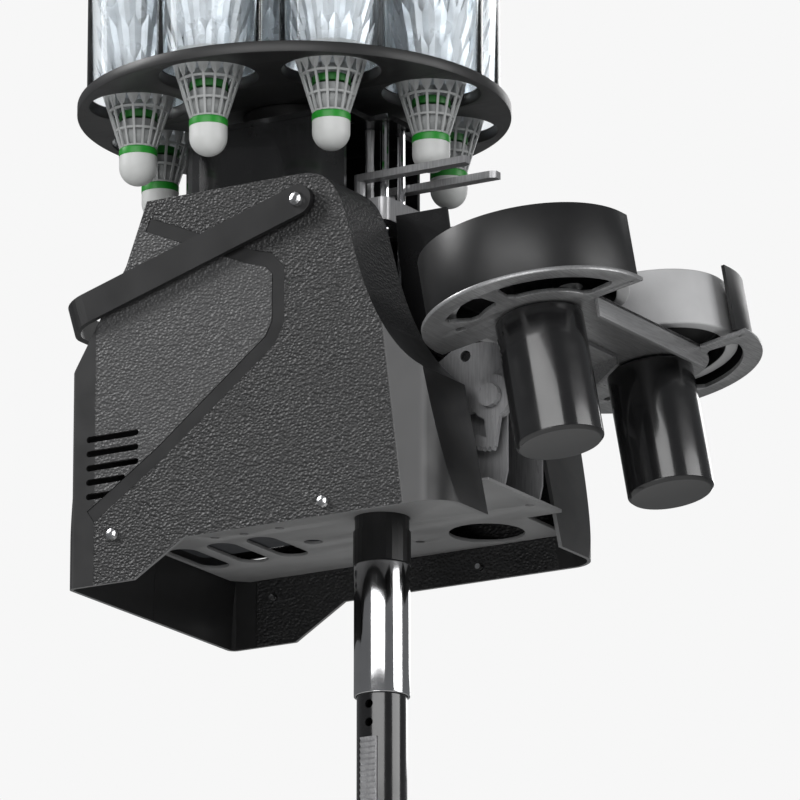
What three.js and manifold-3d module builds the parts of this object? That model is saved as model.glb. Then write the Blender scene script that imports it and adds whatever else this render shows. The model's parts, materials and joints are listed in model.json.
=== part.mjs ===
// Badminton shuttlecock machine: a housing on a telescopic mast, a turning magazine of shuttle tubes,
// a lift with two fingers that takes the lowest shuttle, and a tilting head with two launch wheels.
// Millimetres, +Z up, +X is the way the shuttles fly. The origin is the middle of the mast's foot.
import * as THREE from "three";
import { mergeVertices } from "three/addons/utils/BufferGeometryUtils.js";
import Module from "manifold-3d";

const wasm = await Module();
wasm.setup();

// Clearances shared by all pieces
const seat_gap = 0.3;
const slide_gap = 0.4;
const cut_overrun = 2;
const merge_distance = 0.001;
const round_sides = 28;
const small_sides = 12;
const tube_sides = 16;

// Mast: a slotted pole, a bright sleeve that slides on it, and a collar that the head turns on
const pole_r = 17;
const pole_bore_r = 14;
const pole_height = 200;
const pole_hole_r = 3;
const pole_hole_pitch = 12.6;
const pole_hole_top_z = 138;
const end_cap_height = 6;
const end_cap_r = 18.5;
const rack_width = 12;
const rack_height = 104;
const rack_bottom_z = 11;
const rack_depth = 4;
const rack_tooth_pitch = 5.2;
const rack_tooth_depth = 1.4;
const sleeve_r = 19;
const sleeve_bottom_z = 145.5;
const sleeve_top_z = 236.5;
const collar_r = 19.6;
const collar_height = 23;
const collar_spigot_length = 16;
const swivel_pin_r = 11;
const swivel_pin_height = 30;

// Deck: the flat plate that carries everything in the housing
const deck_thickness = 2.5;
const deck_bottom_z = 269.5;
const deck_front_x = 112;
const deck_front_half_width = 69;
const deck_slot_width = 22;
const deck_slot_length = 60;
const deck_slot_count = 3;
const deck_slot_pitch = 32;
const deck_slot_x = -165;
const deck_slot_y = 28;
const deck_front_hole_r = 26;
const deck_front_hole_x = 41;
const deck_small_hole_r = 3.2;
const socket_r = 18.5;
const socket_flange_r = 38;
const socket_flange_thickness = 6;

// Housing covers: folded sheet, left and right halves that meet at the middle
const cover_half_width = 104;
const cover_wall = 2.5;
const cover_back_x = -182;
const cover_front_x = 112;
const cover_shoulder_x = 94;
const cover_shoulder_z = 338;
const cover_top_z = 486;
const cover_top_front_x = -2;
const cover_top_back_x = -124;
const cover_back_knee_z = 373;
const cover_side_bottom_z = 246;
const cover_back_bottom_z = 222;
const cover_step_x = -92;
const cover_step_run = 40;
const cover_corner_r = 22;
const cover_rear_corner_r = 10;
const front_slot_half_width = 49;
const front_slot_start_x = -22;
const vent_count = 5;
const vent_height = 4.4;
const vent_pitch = 10;
const vent_bottom_z = 282;
const vent_start_x = -171;
const vent_length = 42;
const groove_width = 10;
const groove_depth = 1;
const cover_screw_r = 4.6;
const cover_screw_shank_r = 2;
const cover_screw_height = 2.4;
const cover_screw_drop = 14;
const cover_screw_front_x = 17.4;
const cover_screw_back_x = -149.2;

// Carry handle: a bent strap on two pivots
const handle_pivot_z = 466;
const handle_pivot_x = 0;
const handle_back_gap = 12;
const handle_droop_deg = 16.5;
const handle_strap_width = 21;
const handle_strap_thickness = 4;
const handle_side_gap = 2.2;
const handle_bolt_r = 5.2;
const handle_bolt_shank_r = 3.4;
const handle_bolt_head_height = 3;
const handle_reach = handle_pivot_x - cover_back_x + handle_back_gap + handle_strap_thickness;

// Neck: a U shaped column that carries the magazine
const neck_back_r = 50;
const neck_back_x = -100;
const neck_front_x = 0;
const neck_wall = 3;
const neck_top_z = 546;
const neck_plate_thickness = 4;

// Magazine: disc, tubes and shuttles, turning on a hub
const magazine_x = -71;
const disc_bottom_z = 564.3;
const disc_thickness = 8;
const tube_count = 8;
const tube_r = 35.6;
const tube_gap = 13;
const tube_ring_r = (tube_r + tube_gap / 2) / Math.sin(Math.PI / tube_count);
const tube_wall = 1.8;
const tube_length = 300;
const tube_ledge_reach = 3.2;
const tube_ledge_r = tube_r - tube_wall - tube_ledge_reach;
const tube_ledge_height = 3;
const disc_margin = 4.4;
const disc_r = tube_ring_r + tube_r + disc_margin;
const hub_r = 36;
const motor_shaft_r = 4;
const carousel_motor_r = 21;
const carousel_motor_height = 42;
const top_ring_thickness = 6;
const top_ring_inner_margin = 22.4;
const top_ring_outer_margin = 1.4;
const top_ring_inner_r = tube_ring_r - tube_r - top_ring_inner_margin;
const top_ring_outer_r = tube_ring_r + tube_r + top_ring_outer_margin;

// Shuttle: cork, band, ribbed skirt, and the nested stack above the lowest one
const cork_r = 13;
const cork_straight = 7.2;
const band_height = 5.5;
const skirt_start_r = 12.4;
const skirt_tube_gap = 1.6;
const skirt_mouth_r = tube_r - tube_wall - skirt_tube_gap;
const skirt_height = 64;
const skirt_wall = 1;
const rib_count = 9;
const rib_share = 0.36;
const ring_height = 1.6;
const first_ring_rise = 11.5;
const second_ring_rise = 25.5;
const stack_pitch = 25;
const stack_count = 6;
const stack_bore_inset = 9.2;
const stack_bore_r = skirt_mouth_r - stack_bore_inset;
const shuttle_tip_z = 508.2;

// Lift: two guide rods, a screw and its motor, a carriage and two fingers
const rod_x = 8.5;
const rod_spacing = 22;
const rod_r = 3;
const screw_x = -10;
const screw_r = 3.5;
const screw_thread_pitch = 20;
const screw_thread_depth = 0.6;
const lift_motor_r = 14;
const lift_motor_height = 34;
const lift_motor_bottom_z = 300;
const carriage_height = 16;
const carriage_back_x = -18;
const carriage_front_x = 18;
const carriage_half_width = 25;
const finger_z = 502.7;
const finger_height = 5;
const finger_gap = 31;
const finger_width = 8;
const finger_tip_x = 80;
const finger_pivot_x = 2;
const finger_leg_height = 14;
const finger_post_depth = 8;

// Frame plates: two upright plates that carry the pivot of the launcher head
const frame_inner_half = 22;
const frame_thickness = 2;
const frame_back_x = -30;
const frame_front_x = 112;
const frame_top_z = 374;
const pivot_x = 106;
const pivot_z = 332;
const pivot_pin_r = 5;
const chute_wall = 2;
const chute_top_x = 24;
const chute_drop = 28.7;
const chute_top_z = finger_z - chute_drop;
const chute_low_z = 392;

// Launcher head: tilted plate, guards, motors and wheels, in axes that start at the pivot
const launch_tilt_deg = 10.3;
const wheel_axis_x = 65.4;
const wheel_spacing = 149.2;
const plate_z = 24.7;
const plate_thickness = 3;
const plate_ring_r = 78;
const plate_bridge_half = 43;
const plate_bridge_inset = 4.6;
const plate_bridge_reach = wheel_spacing / 2 - plate_bridge_inset;
const plate_flange_height = 16;
const plate_slot_outer_r = 62;
const plate_slot_inner_r = 41;
const motor_r = 29.5;
const motor_height = 91;
const motor_edge = 2.5;
const motor_boss_r = 12;
const wheel_r = 62.5;
const wheel_width = 40;
const wheel_lift = 4.6;
const wheel_rim = 9;
const wheel_web = 5;
const wheel_hub_r = 13;
const wheel_hole_count = 5;
const wheel_hole_r = 9;
const guard_r = 73;
const guard_wall = 2.5;
const guard_height = 47;
const guard_lip = 8;
const cheek_inner_half = 27;
const cheek_thickness = 3;
const cheek_r = 15;
const sector_pitch_r = 36;
const sector_thickness = 4;
const sector_inner_r = 26;
const sector_middle_deg = 232;
const sector_half_deg = 42;
const sector_tooth_pitch_deg = 6;
const sector_tooth_depth = 2.4;
const worm_r = 8;
const worm_length = 24;
const worm_groove = 1.4;
const tilt_motor_r = 8;
const tilt_motor_length = 30;
const tilt_shaft_r = 2.5;

// Battery on the deck
const battery_length = 110;
const battery_width = 74;
const battery_height = 66;
const battery_corner_r = 6;
const battery_x = -112;

// Derived places
const deck_top_z = deck_bottom_z + deck_thickness;
const disc_top_z = disc_bottom_z + disc_thickness;
const cork_top_z = shuttle_tip_z + cork_r + cork_straight;
const skirt_bottom_z = cork_top_z + band_height;
const skirt_top_z = skirt_bottom_z + skirt_height;
const wheel_y = wheel_spacing / 2;
const chute_half_width = frame_inner_half - seat_gap;
const socket_top_z = deck_top_z + seat_gap + socket_flange_thickness + swivel_pin_height / 2;
const neck_bottom_z = cover_top_z + seat_gap;
const neck_plate_top_z = neck_top_z + neck_plate_thickness;
const full_turn = 2 * Math.PI;
const half_turn = Math.PI;
const quarter_turn = Math.PI / 2;
const radians = (degrees) => (degrees * Math.PI) / 180;

// Turns a closed geometry into a solid, whichever way its faces were wound
function solidOf(geometry) {
  const bare = geometry.index ? geometry.toNonIndexed() : geometry.clone();
  bare.deleteAttribute("normal");
  bare.deleteAttribute("uv");
  const merged = mergeVertices(bare, merge_distance);
  const index = merged.index.array;
  const kept = [];
  for (let i = 0; i < index.length; i += 3) {
    const [a, b, c] = [index[i], index[i + 1], index[i + 2]];
    if (a !== b && b !== c && c !== a) kept.push([a, b, c]);
  }
  const make = (corners) =>
    new wasm.Manifold(
      new wasm.Mesh({
        numProp: 3,
        vertProperties: merged.attributes.position.array,
        triVerts: new Uint32Array(corners.flat()),
      }),
    );
  const made = make(kept);
  return made.volume() < 0 ? make(kept.map(([a, b, c]) => [a, c, b])) : made;
}

function geometryOf(solid) {
  const mesh = solid.getMesh();
  const geometry = new THREE.BufferGeometry();
  geometry.setAttribute("position", new THREE.BufferAttribute(new Float32Array(mesh.vertProperties), 3));
  geometry.setIndex(new THREE.BufferAttribute(new Uint32Array(mesh.triVerts), 1));
  return geometry;
}

// A turned solid: radius and height pairs, revolved round Z
function turned(profile, sides = round_sides) {
  const points = profile.map(([radius, height]) => new THREE.Vector2(radius, height));
  if (profile[0][0] > 0) points.push(points[0].clone());
  return solidOf(new THREE.LatheGeometry(points, sides).rotateX(quarter_turn));
}

function rod(radius, bottom, top, sides = round_sides) {
  return turned([[0, bottom], [radius, bottom], [radius, top], [0, top]], sides);
}

function tube(outer, inner, bottom, top, sides = round_sides) {
  return turned([[inner, bottom], [outer, bottom], [outer, top], [inner, top]], sides);
}

function block(x0, x1, y0, y1, z0, z1) {
  const box = new THREE.BoxGeometry(x1 - x0, y1 - y0, z1 - z0);
  return solidOf(box.translate((x0 + x1) / 2, (y0 + y1) / 2, (z0 + z1) / 2));
}

const extrude = (shape, depth, curve_steps) =>
  new THREE.ExtrudeGeometry(shape, { depth, bevelEnabled: false, curveSegments: curve_steps });

// An outline in the XZ plane, given thickness from y0 to y1
function sidePlate(shape, y0, y1, curve_steps = 8) {
  return solidOf(extrude(shape, y1 - y0, curve_steps).rotateX(quarter_turn).translate(0, y1, 0));
}

// An outline in the XY plane, given thickness from z0 to z1
function flatPlate(shape, z0, z1, curve_steps = 8) {
  return solidOf(extrude(shape, z1 - z0, curve_steps).translate(0, 0, z0));
}

function polygon(points) {
  return new THREE.Shape(points.map(([a, b]) => new THREE.Vector2(a, b)));
}

function roundedRect(x0, x1, y0, y1, radius) {
  const shape = new THREE.Shape();
  shape.absarc(x1 - radius, y0 + radius, radius, -quarter_turn, 0);
  shape.absarc(x1 - radius, y1 - radius, radius, 0, quarter_turn);
  shape.absarc(x0 + radius, y1 - radius, radius, quarter_turn, half_turn);
  shape.absarc(x0 + radius, y0 + radius, radius, half_turn, half_turn + quarter_turn);
  return shape;
}

// A strip of even width along a chain of points, as an outline
function stripAlong(points, width) {
  const half = width / 2;
  const turns = points.map((point, i) => {
    const before = points[Math.max(i - 1, 0)];
    const after = points[Math.min(i + 1, points.length - 1)];
    const length = Math.hypot(after[0] - before[0], after[1] - before[1]);
    return [-(after[1] - before[1]) / length, (after[0] - before[0]) / length];
  });
  const left = points.map(([a, b], i) => [a + half * turns[i][0], b + half * turns[i][1]]);
  const right = points.map(([a, b], i) => [a - half * turns[i][0], b - half * turns[i][1]]);
  return polygon([...left, ...right.reverse()]);
}

function cutAll(solid, cutters) {
  return cutters.reduce((rest, cutter) => rest.subtract(cutter), solid);
}

function joinAll(solids) {
  return solids.reduce((whole, piece) => whole.add(piece));
}

const paint = (color, roughness, metalness) => new THREE.MeshStandardMaterial({ color, roughness, metalness });
const looks = {
  sheet: paint(0x2b2b2c, 0.62, 0.2),
  satin: paint(0x1c1c1d, 0.35, 0.3),
  gloss: paint(0x141415, 0.2, 0.3),
  disc: paint(0x3a3a3b, 0.5, 0.2),
  chrome: paint(0xc9cacc, 0.12, 1),
  bare: paint(0xb4b5b6, 0.35, 1),
  plate: paint(0x77787a, 0.5, 0.8),
  wheel: paint(0xb0b0b0, 0.45, 0.4),
  clear: paint(0xd7dde2, 0.08, 0),
  nylon: paint(0xe6e6e3, 0.5, 0),
  screw: paint(0xc0c0c2, 0.25, 1),
  motor: paint(0x1d1d1e, 0.3, 0.4),
  battery: paint(0x303338, 0.6, 0),
};

const machine = new THREE.Group();

function addPiece(name, solid, material, parent = machine) {
  const mesh = new THREE.Mesh(geometryOf(solid), material);
  mesh.name = name;
  parent.add(mesh);
  return mesh;
}

// Mast
function polePiece() {
  const shell = tube(pole_r, pole_bore_r, end_cap_height + seat_gap, pole_height);
  const holes = [0, 1].map((step) =>
    rod(pole_hole_r, 0, pole_r + cut_overrun, small_sides)
      .rotate([90, 0, 0])
      .translate([0, 0, pole_hole_top_z - step * pole_hole_pitch]),
  );
  const seat = block(-rack_width / 2 - seat_gap, rack_width / 2 + seat_gap, -pole_r - cut_overrun,
    -pole_r + rack_depth / 2, rack_bottom_z - seat_gap, rack_bottom_z + rack_height + seat_gap);
  return cutAll(shell, [...holes, seat]);
}

// The toothed strip let into the face of the pole
function rackPiece() {
  const outer = -pole_r - rack_depth / 2;
  const inner = -pole_r + rack_depth / 2 - seat_gap;
  const strip = block(-rack_width / 2, rack_width / 2, outer, inner, rack_bottom_z, rack_bottom_z + rack_height);
  const count = Math.floor(rack_height / rack_tooth_pitch);
  const notches = Array.from({ length: count }, (_, i) => {
    const z = rack_bottom_z + (i + 0.5) * rack_tooth_pitch;
    const half = rack_tooth_pitch / 4;
    const shape = polygon([[outer - cut_overrun, z - 2 * half], [outer + rack_tooth_depth, z - half / 2],
      [outer + rack_tooth_depth, z + half / 2], [outer - cut_overrun, z + 2 * half]]);
    const cutter = extrude(shape, rack_width + cut_overrun, 1).translate(0, 0, -(rack_width + cut_overrun) / 2);
    return solidOf(cutter.applyMatrix4(new THREE.Matrix4().set(0, 0, 1, 0, 1, 0, 0, 0, 0, 1, 0, 0, 0, 0, 0, 1)));
  });
  return cutAll(strip, notches);
}

function endCapPiece() {
  const plug_r = pole_bore_r - seat_gap;
  const plug_top = end_cap_height * 3;
  return turned([[0, 0], [end_cap_r, 0], [end_cap_r, end_cap_height], [plug_r, end_cap_height],
    [plug_r, plug_top], [0, plug_top]]);
}

function collarPiece() {
  const spigot_r = pole_r;
  const bottom = sleeve_top_z + seat_gap;
  const top = bottom + collar_height;
  return turned([[0, bottom - collar_spigot_length], [spigot_r, bottom - collar_spigot_length],
    [spigot_r, bottom], [collar_r, bottom], [collar_r, top], [swivel_pin_r, top],
    [swivel_pin_r, top + swivel_pin_height], [0, top + swivel_pin_height]]);
}

// The socket under the deck that turns on the collar's pin
function socketPiece() {
  const bottom = sleeve_top_z + 2 * seat_gap + collar_height;
  const bore = swivel_pin_r + seat_gap;
  const flange_bottom = deck_top_z + seat_gap;
  const flange_top = flange_bottom + socket_flange_thickness;
  const top = socket_top_z;
  return turned([[bore, bottom], [socket_r, bottom], [socket_r, flange_bottom], [socket_flange_r, flange_bottom],
    [socket_flange_r, flange_top], [socket_r, flange_top], [socket_r, top], [bore, top]]);
}

// Deck
function deckPiece() {
  const back = cover_back_x + cover_wall + seat_gap;
  const side = cover_half_width - cover_wall - seat_gap;
  const inner_front = cover_front_x - cover_corner_r - 2 * cover_wall;
  const corner = cover_rear_corner_r;
  const tongue = front_slot_half_width - seat_gap;
  const outline = polygon([[back + corner, -side], [inner_front, -side], [inner_front, -tongue], [deck_front_x, -tongue],
    [deck_front_x, tongue], [inner_front, tongue], [inner_front, side], [back + corner, side],
    [back, side - corner], [back, -side + corner]]);
  const plate = flatPlate(outline, deck_bottom_z, deck_top_z);
  const through = (radius, x, y, sides = small_sides) =>
    rod(radius, deck_bottom_z - cut_overrun, deck_top_z + cut_overrun, sides).translate([x, y, 0]);
  const slots = Array.from({ length: deck_slot_count }, (_, i) => {
    const x = deck_slot_x + i * deck_slot_pitch;
    return flatPlate(roundedRect(x - deck_slot_width / 2, x + deck_slot_width / 2, deck_slot_y - deck_slot_length / 2,
      deck_slot_y + deck_slot_length / 2, deck_slot_width / 2), deck_bottom_z - cut_overrun, deck_top_z + cut_overrun, 3);
  });
  const front_hole = through(deck_front_hole_r, deck_front_hole_x, side - 1.2 * deck_front_hole_r);
  const small_places_shares = [[-1.11, -0.15], [-0.91, -0.13], [-0.65, -0.14], [0.92, 0.21], [-0.09, 0.66], [-0.65, 0.29]];
  const small = small_places_shares.map(([along, across], i) =>
    through(deck_small_hole_r * (i === small_places_shares.length - 1 ? 2 : 1), along * deck_front_x, across * side,
      small_sides / 2));
  return cutAll(plate, [through(socket_r + seat_gap, 0, 0, round_sides), ...slots, front_hole, ...small]);
}

// Side view of the housing, drawn in by an inset. The front shares run from the top's front end to the shoulder:
// along, down, and how much of the inset each point is drawn in by in x and in z
function coverOutline(inset) {
  const front_shares = [[0.36, 0, 0, 1], [0.36, 0.22, 0.6, 0], [0.49, 0.49, 1, 0], [0.61, 0.73, 1, 0],
    [0.78, 0.91, 1, 0], [1, 1, 1, 1]];
  const back_shares = [0.17, 0.47];
  const lean_share = 0.6;
  const top = cover_top_z - inset;
  const back = cover_back_x + inset;
  const top_back = cover_top_back_x + inset * lean_share;
  const rise = cover_top_z - cover_shoulder_z;
  const run = cover_shoulder_x - cover_top_front_x;
  const open = inset > 0 ? cut_overrun : 0;
  const front = (i) => {
    const [along, down, in_x, in_z] = front_shares[i];
    return [cover_top_front_x + along * run - in_x * inset, cover_top_z - down * rise - in_z * inset];
  };
  const shape = new THREE.Shape();
  shape.moveTo(back, cover_back_bottom_z - open);
  shape.lineTo(back, cover_back_knee_z - inset * lean_share / 2);
  shape.lineTo(top_back - run * back_shares[0], cover_back_knee_z + rise * back_shares[1]);
  shape.lineTo(top_back, top);
  shape.lineTo(cover_top_front_x, top);
  shape.bezierCurveTo(...front(0), ...front(1), ...front(2));
  shape.bezierCurveTo(...front(3), ...front(4), ...front(5));
  shape.lineTo(cover_front_x - inset, cover_side_bottom_z - open);
  shape.lineTo(cover_step_x + inset, cover_side_bottom_z - open);
  shape.lineTo(cover_step_x - cover_step_run + inset, cover_back_bottom_z - open);
  return shape;
}

// Plan of the housing: wide bends at the front, tighter ones at the back
function coverPlan(inset) {
  const half = cover_half_width - inset;
  const rounded = (x0, x1, radius) => flatPlate(roundedRect(x0, x1, -half, half, radius - inset),
    cover_back_bottom_z - cut_overrun * 2, cover_top_z + cut_overrun, 3);
  return rounded(cover_back_x - cover_corner_r, cover_front_x - inset, cover_corner_r)
    .intersect(rounded(cover_back_x + inset, cover_front_x + cover_corner_r, cover_rear_corner_r));
}

// The raised path that the groove follows on each side
function groovePath() {
  const rise = cover_top_z - cover_side_bottom_z;
  const run = cover_front_x - cover_back_x;
  const shares = [[0.2, 0.93], [0.475, 0.785], [0.53, 0.765], [0.556, 0.73], [0.556, 0.58], [0.535, 0.53],
    [0.24, 0.255], [0.05, 0.1]];
  return shares.map(([x, z]) => [cover_back_x + x * run, cover_side_bottom_z + z * rise]);
}

function ventCutters(side) {
  const y_in = side * (cover_half_width - 2 * cover_wall);
  const y_out = side * (cover_half_width + cover_wall);
  return Array.from({ length: vent_count }, (_, i) => {
    const z = vent_bottom_z + i * vent_pitch;
    const length = vent_length * Math.min(1, 0.5 + 0.25 * i);
    const shape = roundedRect(vent_start_x, vent_start_x + length, z, z + vent_height, vent_height / 2);
    return sidePlate(shape, Math.min(y_in, y_out), Math.max(y_in, y_out), 2);
  });
}

// One half of the housing: side wall, half the back and top, and the strip that folds round the front
function coverPiece(side) {
  const outer_y = side * cover_half_width;
  const meet_y = side * seat_gap / 2;
  const wide = (y0, y1, shape) => sidePlate(shape, Math.min(y0, y1), Math.max(y0, y1), 5);
  const skin = wide(meet_y, outer_y, coverOutline(0)).intersect(coverPlan(0));
  const hollow = wide(-outer_y, outer_y, coverOutline(cover_wall)).intersect(coverPlan(cover_wall));
  const slot = block(front_slot_start_x, cover_front_x + cut_overrun, -front_slot_half_width, front_slot_half_width,
    cover_back_bottom_z - cut_overrun, cover_top_z + cut_overrun);
  const groove = wide(side * (cover_half_width - groove_depth), side * (cover_half_width + cut_overrun),
    stripAlong(groovePath(), groove_width));
  const bolts = [[handle_pivot_x, handle_pivot_z, handle_bolt_shank_r],
    ...screwPlaces().map(([x, z]) => [x, z, cover_screw_shank_r])].map(([x, z, radius]) =>
    rod(radius + seat_gap, -4 * cover_wall, 4 * cover_wall, small_sides).rotate([90, 0, 0])
      .translate([x, outer_y, z]));
  return cutAll(skin, [hollow, slot, groove, ...ventCutters(side), ...bolts]);
}

function screwPlaces() {
  const z = deck_bottom_z - cover_screw_drop;
  return [[cover_screw_back_x, z], [cover_screw_front_x, z]];
}

function coverScrewPiece(side, x, z) {
  const shank = 3 * cover_wall;
  const face = cover_half_width + seat_gap;
  const screw = turned([[0, -shank], [cover_screw_shank_r, -shank], [cover_screw_shank_r, 0],
    [cover_screw_r, 0], [cover_screw_r * 0.8, cover_screw_height * 0.75], [cover_screw_r * 0.35, cover_screw_height],
    [0, cover_screw_height]], small_sides);
  return screw.rotate([-side * 90, 0, 0]).translate([x, side * face, z]);
}

function handleBoltPiece(side) {
  const inner = cover_half_width - 3 * cover_wall;
  const strap_outer = cover_half_width + handle_side_gap + handle_strap_thickness + seat_gap;
  const head_top = strap_outer + handle_bolt_head_height;
  const bolt = turned([[0, inner], [handle_bolt_shank_r, inner], [handle_bolt_shank_r, strap_outer],
    [handle_bolt_r, strap_outer], [handle_bolt_r * 0.85, head_top - seat_gap * 2], [handle_bolt_r * 0.4, head_top],
    [0, head_top]], small_sides);
  return bolt.rotate([-side * 90, 0, 0]).translate([handle_pivot_x, 0, handle_pivot_z]);
}

// The strap seen from above, cut by its own side view, then lowered about its pivots
function handlePiece() {
  const inner = cover_half_width + handle_side_gap;
  const outer = inner + handle_strap_thickness;
  const bend_r = handle_strap_width;
  const half = handle_strap_width / 2;
  const ring = flatPlate(roundedRect(-handle_reach, handle_reach, -outer, outer, bend_r), -half, half, 5).subtract(
    flatPlate(roundedRect(-handle_reach + handle_strap_thickness, handle_reach - handle_strap_thickness, -inner, inner,
      bend_r - handle_strap_thickness), -half - cut_overrun, half + cut_overrun, 5));
  const side_view = new THREE.Shape();
  side_view.absarc(0, 0, half, -quarter_turn, quarter_turn);
  side_view.lineTo(-handle_reach - cut_overrun, half);
  side_view.lineTo(-handle_reach - cut_overrun, -half);
  const holes = rod(handle_bolt_shank_r + seat_gap, -outer - cut_overrun, outer + cut_overrun, small_sides)
    .rotate([90, 0, 0]);
  return ring.intersect(sidePlate(side_view, -outer - cut_overrun, outer + cut_overrun)).subtract(holes)
    .rotate([0, -handle_droop_deg, 0]).translate([handle_pivot_x, 0, handle_pivot_z]);
}

// Neck
function neckOutline(inset, reach) {
  const half = neck_back_r - inset;
  const shape = new THREE.Shape();
  shape.moveTo(neck_front_x + reach, -half);
  shape.lineTo(neck_front_x + reach, half);
  shape.lineTo(neck_back_x, half);
  shape.absarc(neck_back_x, 0, half, quarter_turn, half_turn + quarter_turn);
  return shape;
}

function neckPiece() {
  const walls = flatPlate(neckOutline(0, 0), neck_bottom_z, neck_top_z);
  const hollow = flatPlate(neckOutline(neck_wall, cut_overrun), neck_bottom_z - cut_overrun, neck_top_z + cut_overrun);
  return walls.subtract(hollow);
}

function neckPlatePiece() {
  const bottom = neck_top_z + seat_gap;
  const top = bottom + neck_plate_thickness;
  const tongue_x = rod_x + 2 * rod_r;
  const tongue_half = rod_spacing / 2 + 2 * rod_r;
  const plate = flatPlate(neckOutline(0, 0), bottom, top)
    .add(block(neck_front_x - neck_wall, tongue_x, -tongue_half, tongue_half, bottom, top));
  return plate.subtract(rod(motor_shaft_r * 2, bottom - cut_overrun, top + cut_overrun, small_sides)
    .translate([magazine_x, 0, 0]));
}

function carouselMotorPiece() {
  const top = neck_top_z;
  const shaft_top = disc_top_z - disc_thickness / 4;
  const motor = turned([[0, top - carousel_motor_height], [carousel_motor_r, top - carousel_motor_height],
    [carousel_motor_r, top], [motor_shaft_r, top], [motor_shaft_r, shaft_top], [0, shaft_top]]);
  return motor.translate([magazine_x, 0, 0]);
}

// Magazine, modelled round its own axis
const tubePlace = (i) => {
  const turn = half_turn + (i * full_turn) / tube_count;
  return [tube_ring_r * Math.cos(turn), tube_ring_r * Math.sin(turn)];
};

function discPiece() {
  const hub_bottom = neck_top_z + seat_gap + neck_plate_thickness + seat_gap;
  const bore = motor_shaft_r + slide_gap;
  const edge = disc_thickness / 8;
  const disc = turned([[bore, hub_bottom], [hub_r, hub_bottom], [hub_r, disc_bottom_z], [disc_r - edge, disc_bottom_z],
    [disc_r, disc_bottom_z + edge], [disc_r, disc_top_z], [bore, disc_top_z]], 40);
  const holes = Array.from({ length: tube_count }, (_, i) =>
    rod(tube_r - tube_wall, disc_bottom_z - cut_overrun, disc_top_z + cut_overrun, tube_sides).translate([...tubePlace(i), 0]));
  return cutAll(disc, holes);
}

const ledge_z = skirt_bottom_z + skirt_height * 0.85;

function tubePiece() {
  const bottom = disc_top_z + seat_gap;
  const bore = tube_r - tube_wall;
  return turned([[bore, bottom], [tube_r, bottom], [tube_r, bottom + tube_length], [bore, bottom + tube_length],
    [bore, ledge_z + tube_ledge_height], [tube_ledge_r, ledge_z],
    [bore, ledge_z - tube_ledge_height]], tube_sides);
}

function topRingPiece() {
  const bottom = disc_top_z + seat_gap + tube_length - 4 * top_ring_thickness;
  const ring = tube(top_ring_outer_r, top_ring_inner_r, bottom, bottom + top_ring_thickness, 32);
  const holes = Array.from({ length: tube_count }, (_, i) =>
    rod(tube_r + seat_gap, bottom - cut_overrun, bottom + top_ring_thickness + cut_overrun, tube_sides)
      .translate([...tubePlace(i), 0]));
  return cutAll(ring, holes);
}

// The open skirt: ribs, two rings and the closed vanes, laid out as a grid of cells on a cone
function skirtCage() {
  const columns = 2 * rib_count;
  const levels = [-seat_gap, first_ring_rise, first_ring_rise + ring_height, second_ring_rise,
    second_ring_rise + ring_height, skirt_height];
  const open_rows = [0, 2];
  const slope = (skirt_mouth_r - skirt_start_r) / skirt_height;
  const isFilled = (column, row) =>
    row >= 0 && row < levels.length - 1 && (column % 2 === 0 || !open_rows.includes(row));
  const angleOf = (column) => {
    const step = full_turn / rib_count;
    return Math.floor(column / 2) * step + (column % 2 === 0 ? 0 : rib_share * step);
  };
  const corner = (column, level, inset) => {
    const radius = skirt_start_r + slope * levels[level] - inset;
    const angle = angleOf(column % columns) + Math.floor(column / columns) * full_turn;
    return [radius * Math.cos(angle), radius * Math.sin(angle), skirt_bottom_z + levels[level]];
  };
  const faces = [];
  const quad = (a, b, c, d) => faces.push(...a, ...b, ...c, ...a, ...c, ...d);
  for (let column = 0; column < columns; column++) {
    const next = (column + 1) % columns;
    const last = (column + columns - 1) % columns;
    for (let row = 0; row < levels.length - 1; row++) {
      if (!isFilled(column, row)) continue;
      const outer = [[column, row], [column + 1, row], [column + 1, row + 1], [column, row + 1]];
      quad(...outer.map(([c, l]) => corner(c, l, 0)));
      quad(...outer.reverse().map(([c, l]) => corner(c, l, skirt_wall)));
      const wall = (c0, l0, c1, l1) =>
        quad(corner(c0, l0, skirt_wall), corner(c1, l1, skirt_wall), corner(c1, l1, 0), corner(c0, l0, 0));
      if (!isFilled(column, row - 1)) wall(column, row, column + 1, row);
      if (!isFilled(column, row + 1)) wall(column + 1, row + 1, column, row + 1);
      if (!isFilled(next, row)) wall(column + 1, row, column + 1, row + 1);
      if (!isFilled(last, row)) wall(column, row + 1, column, row);
    }
  }
  const geometry = new THREE.BufferGeometry();
  geometry.setAttribute("position", new THREE.BufferAttribute(new Float32Array(faces), 3));
  return solidOf(geometry);
}

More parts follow.
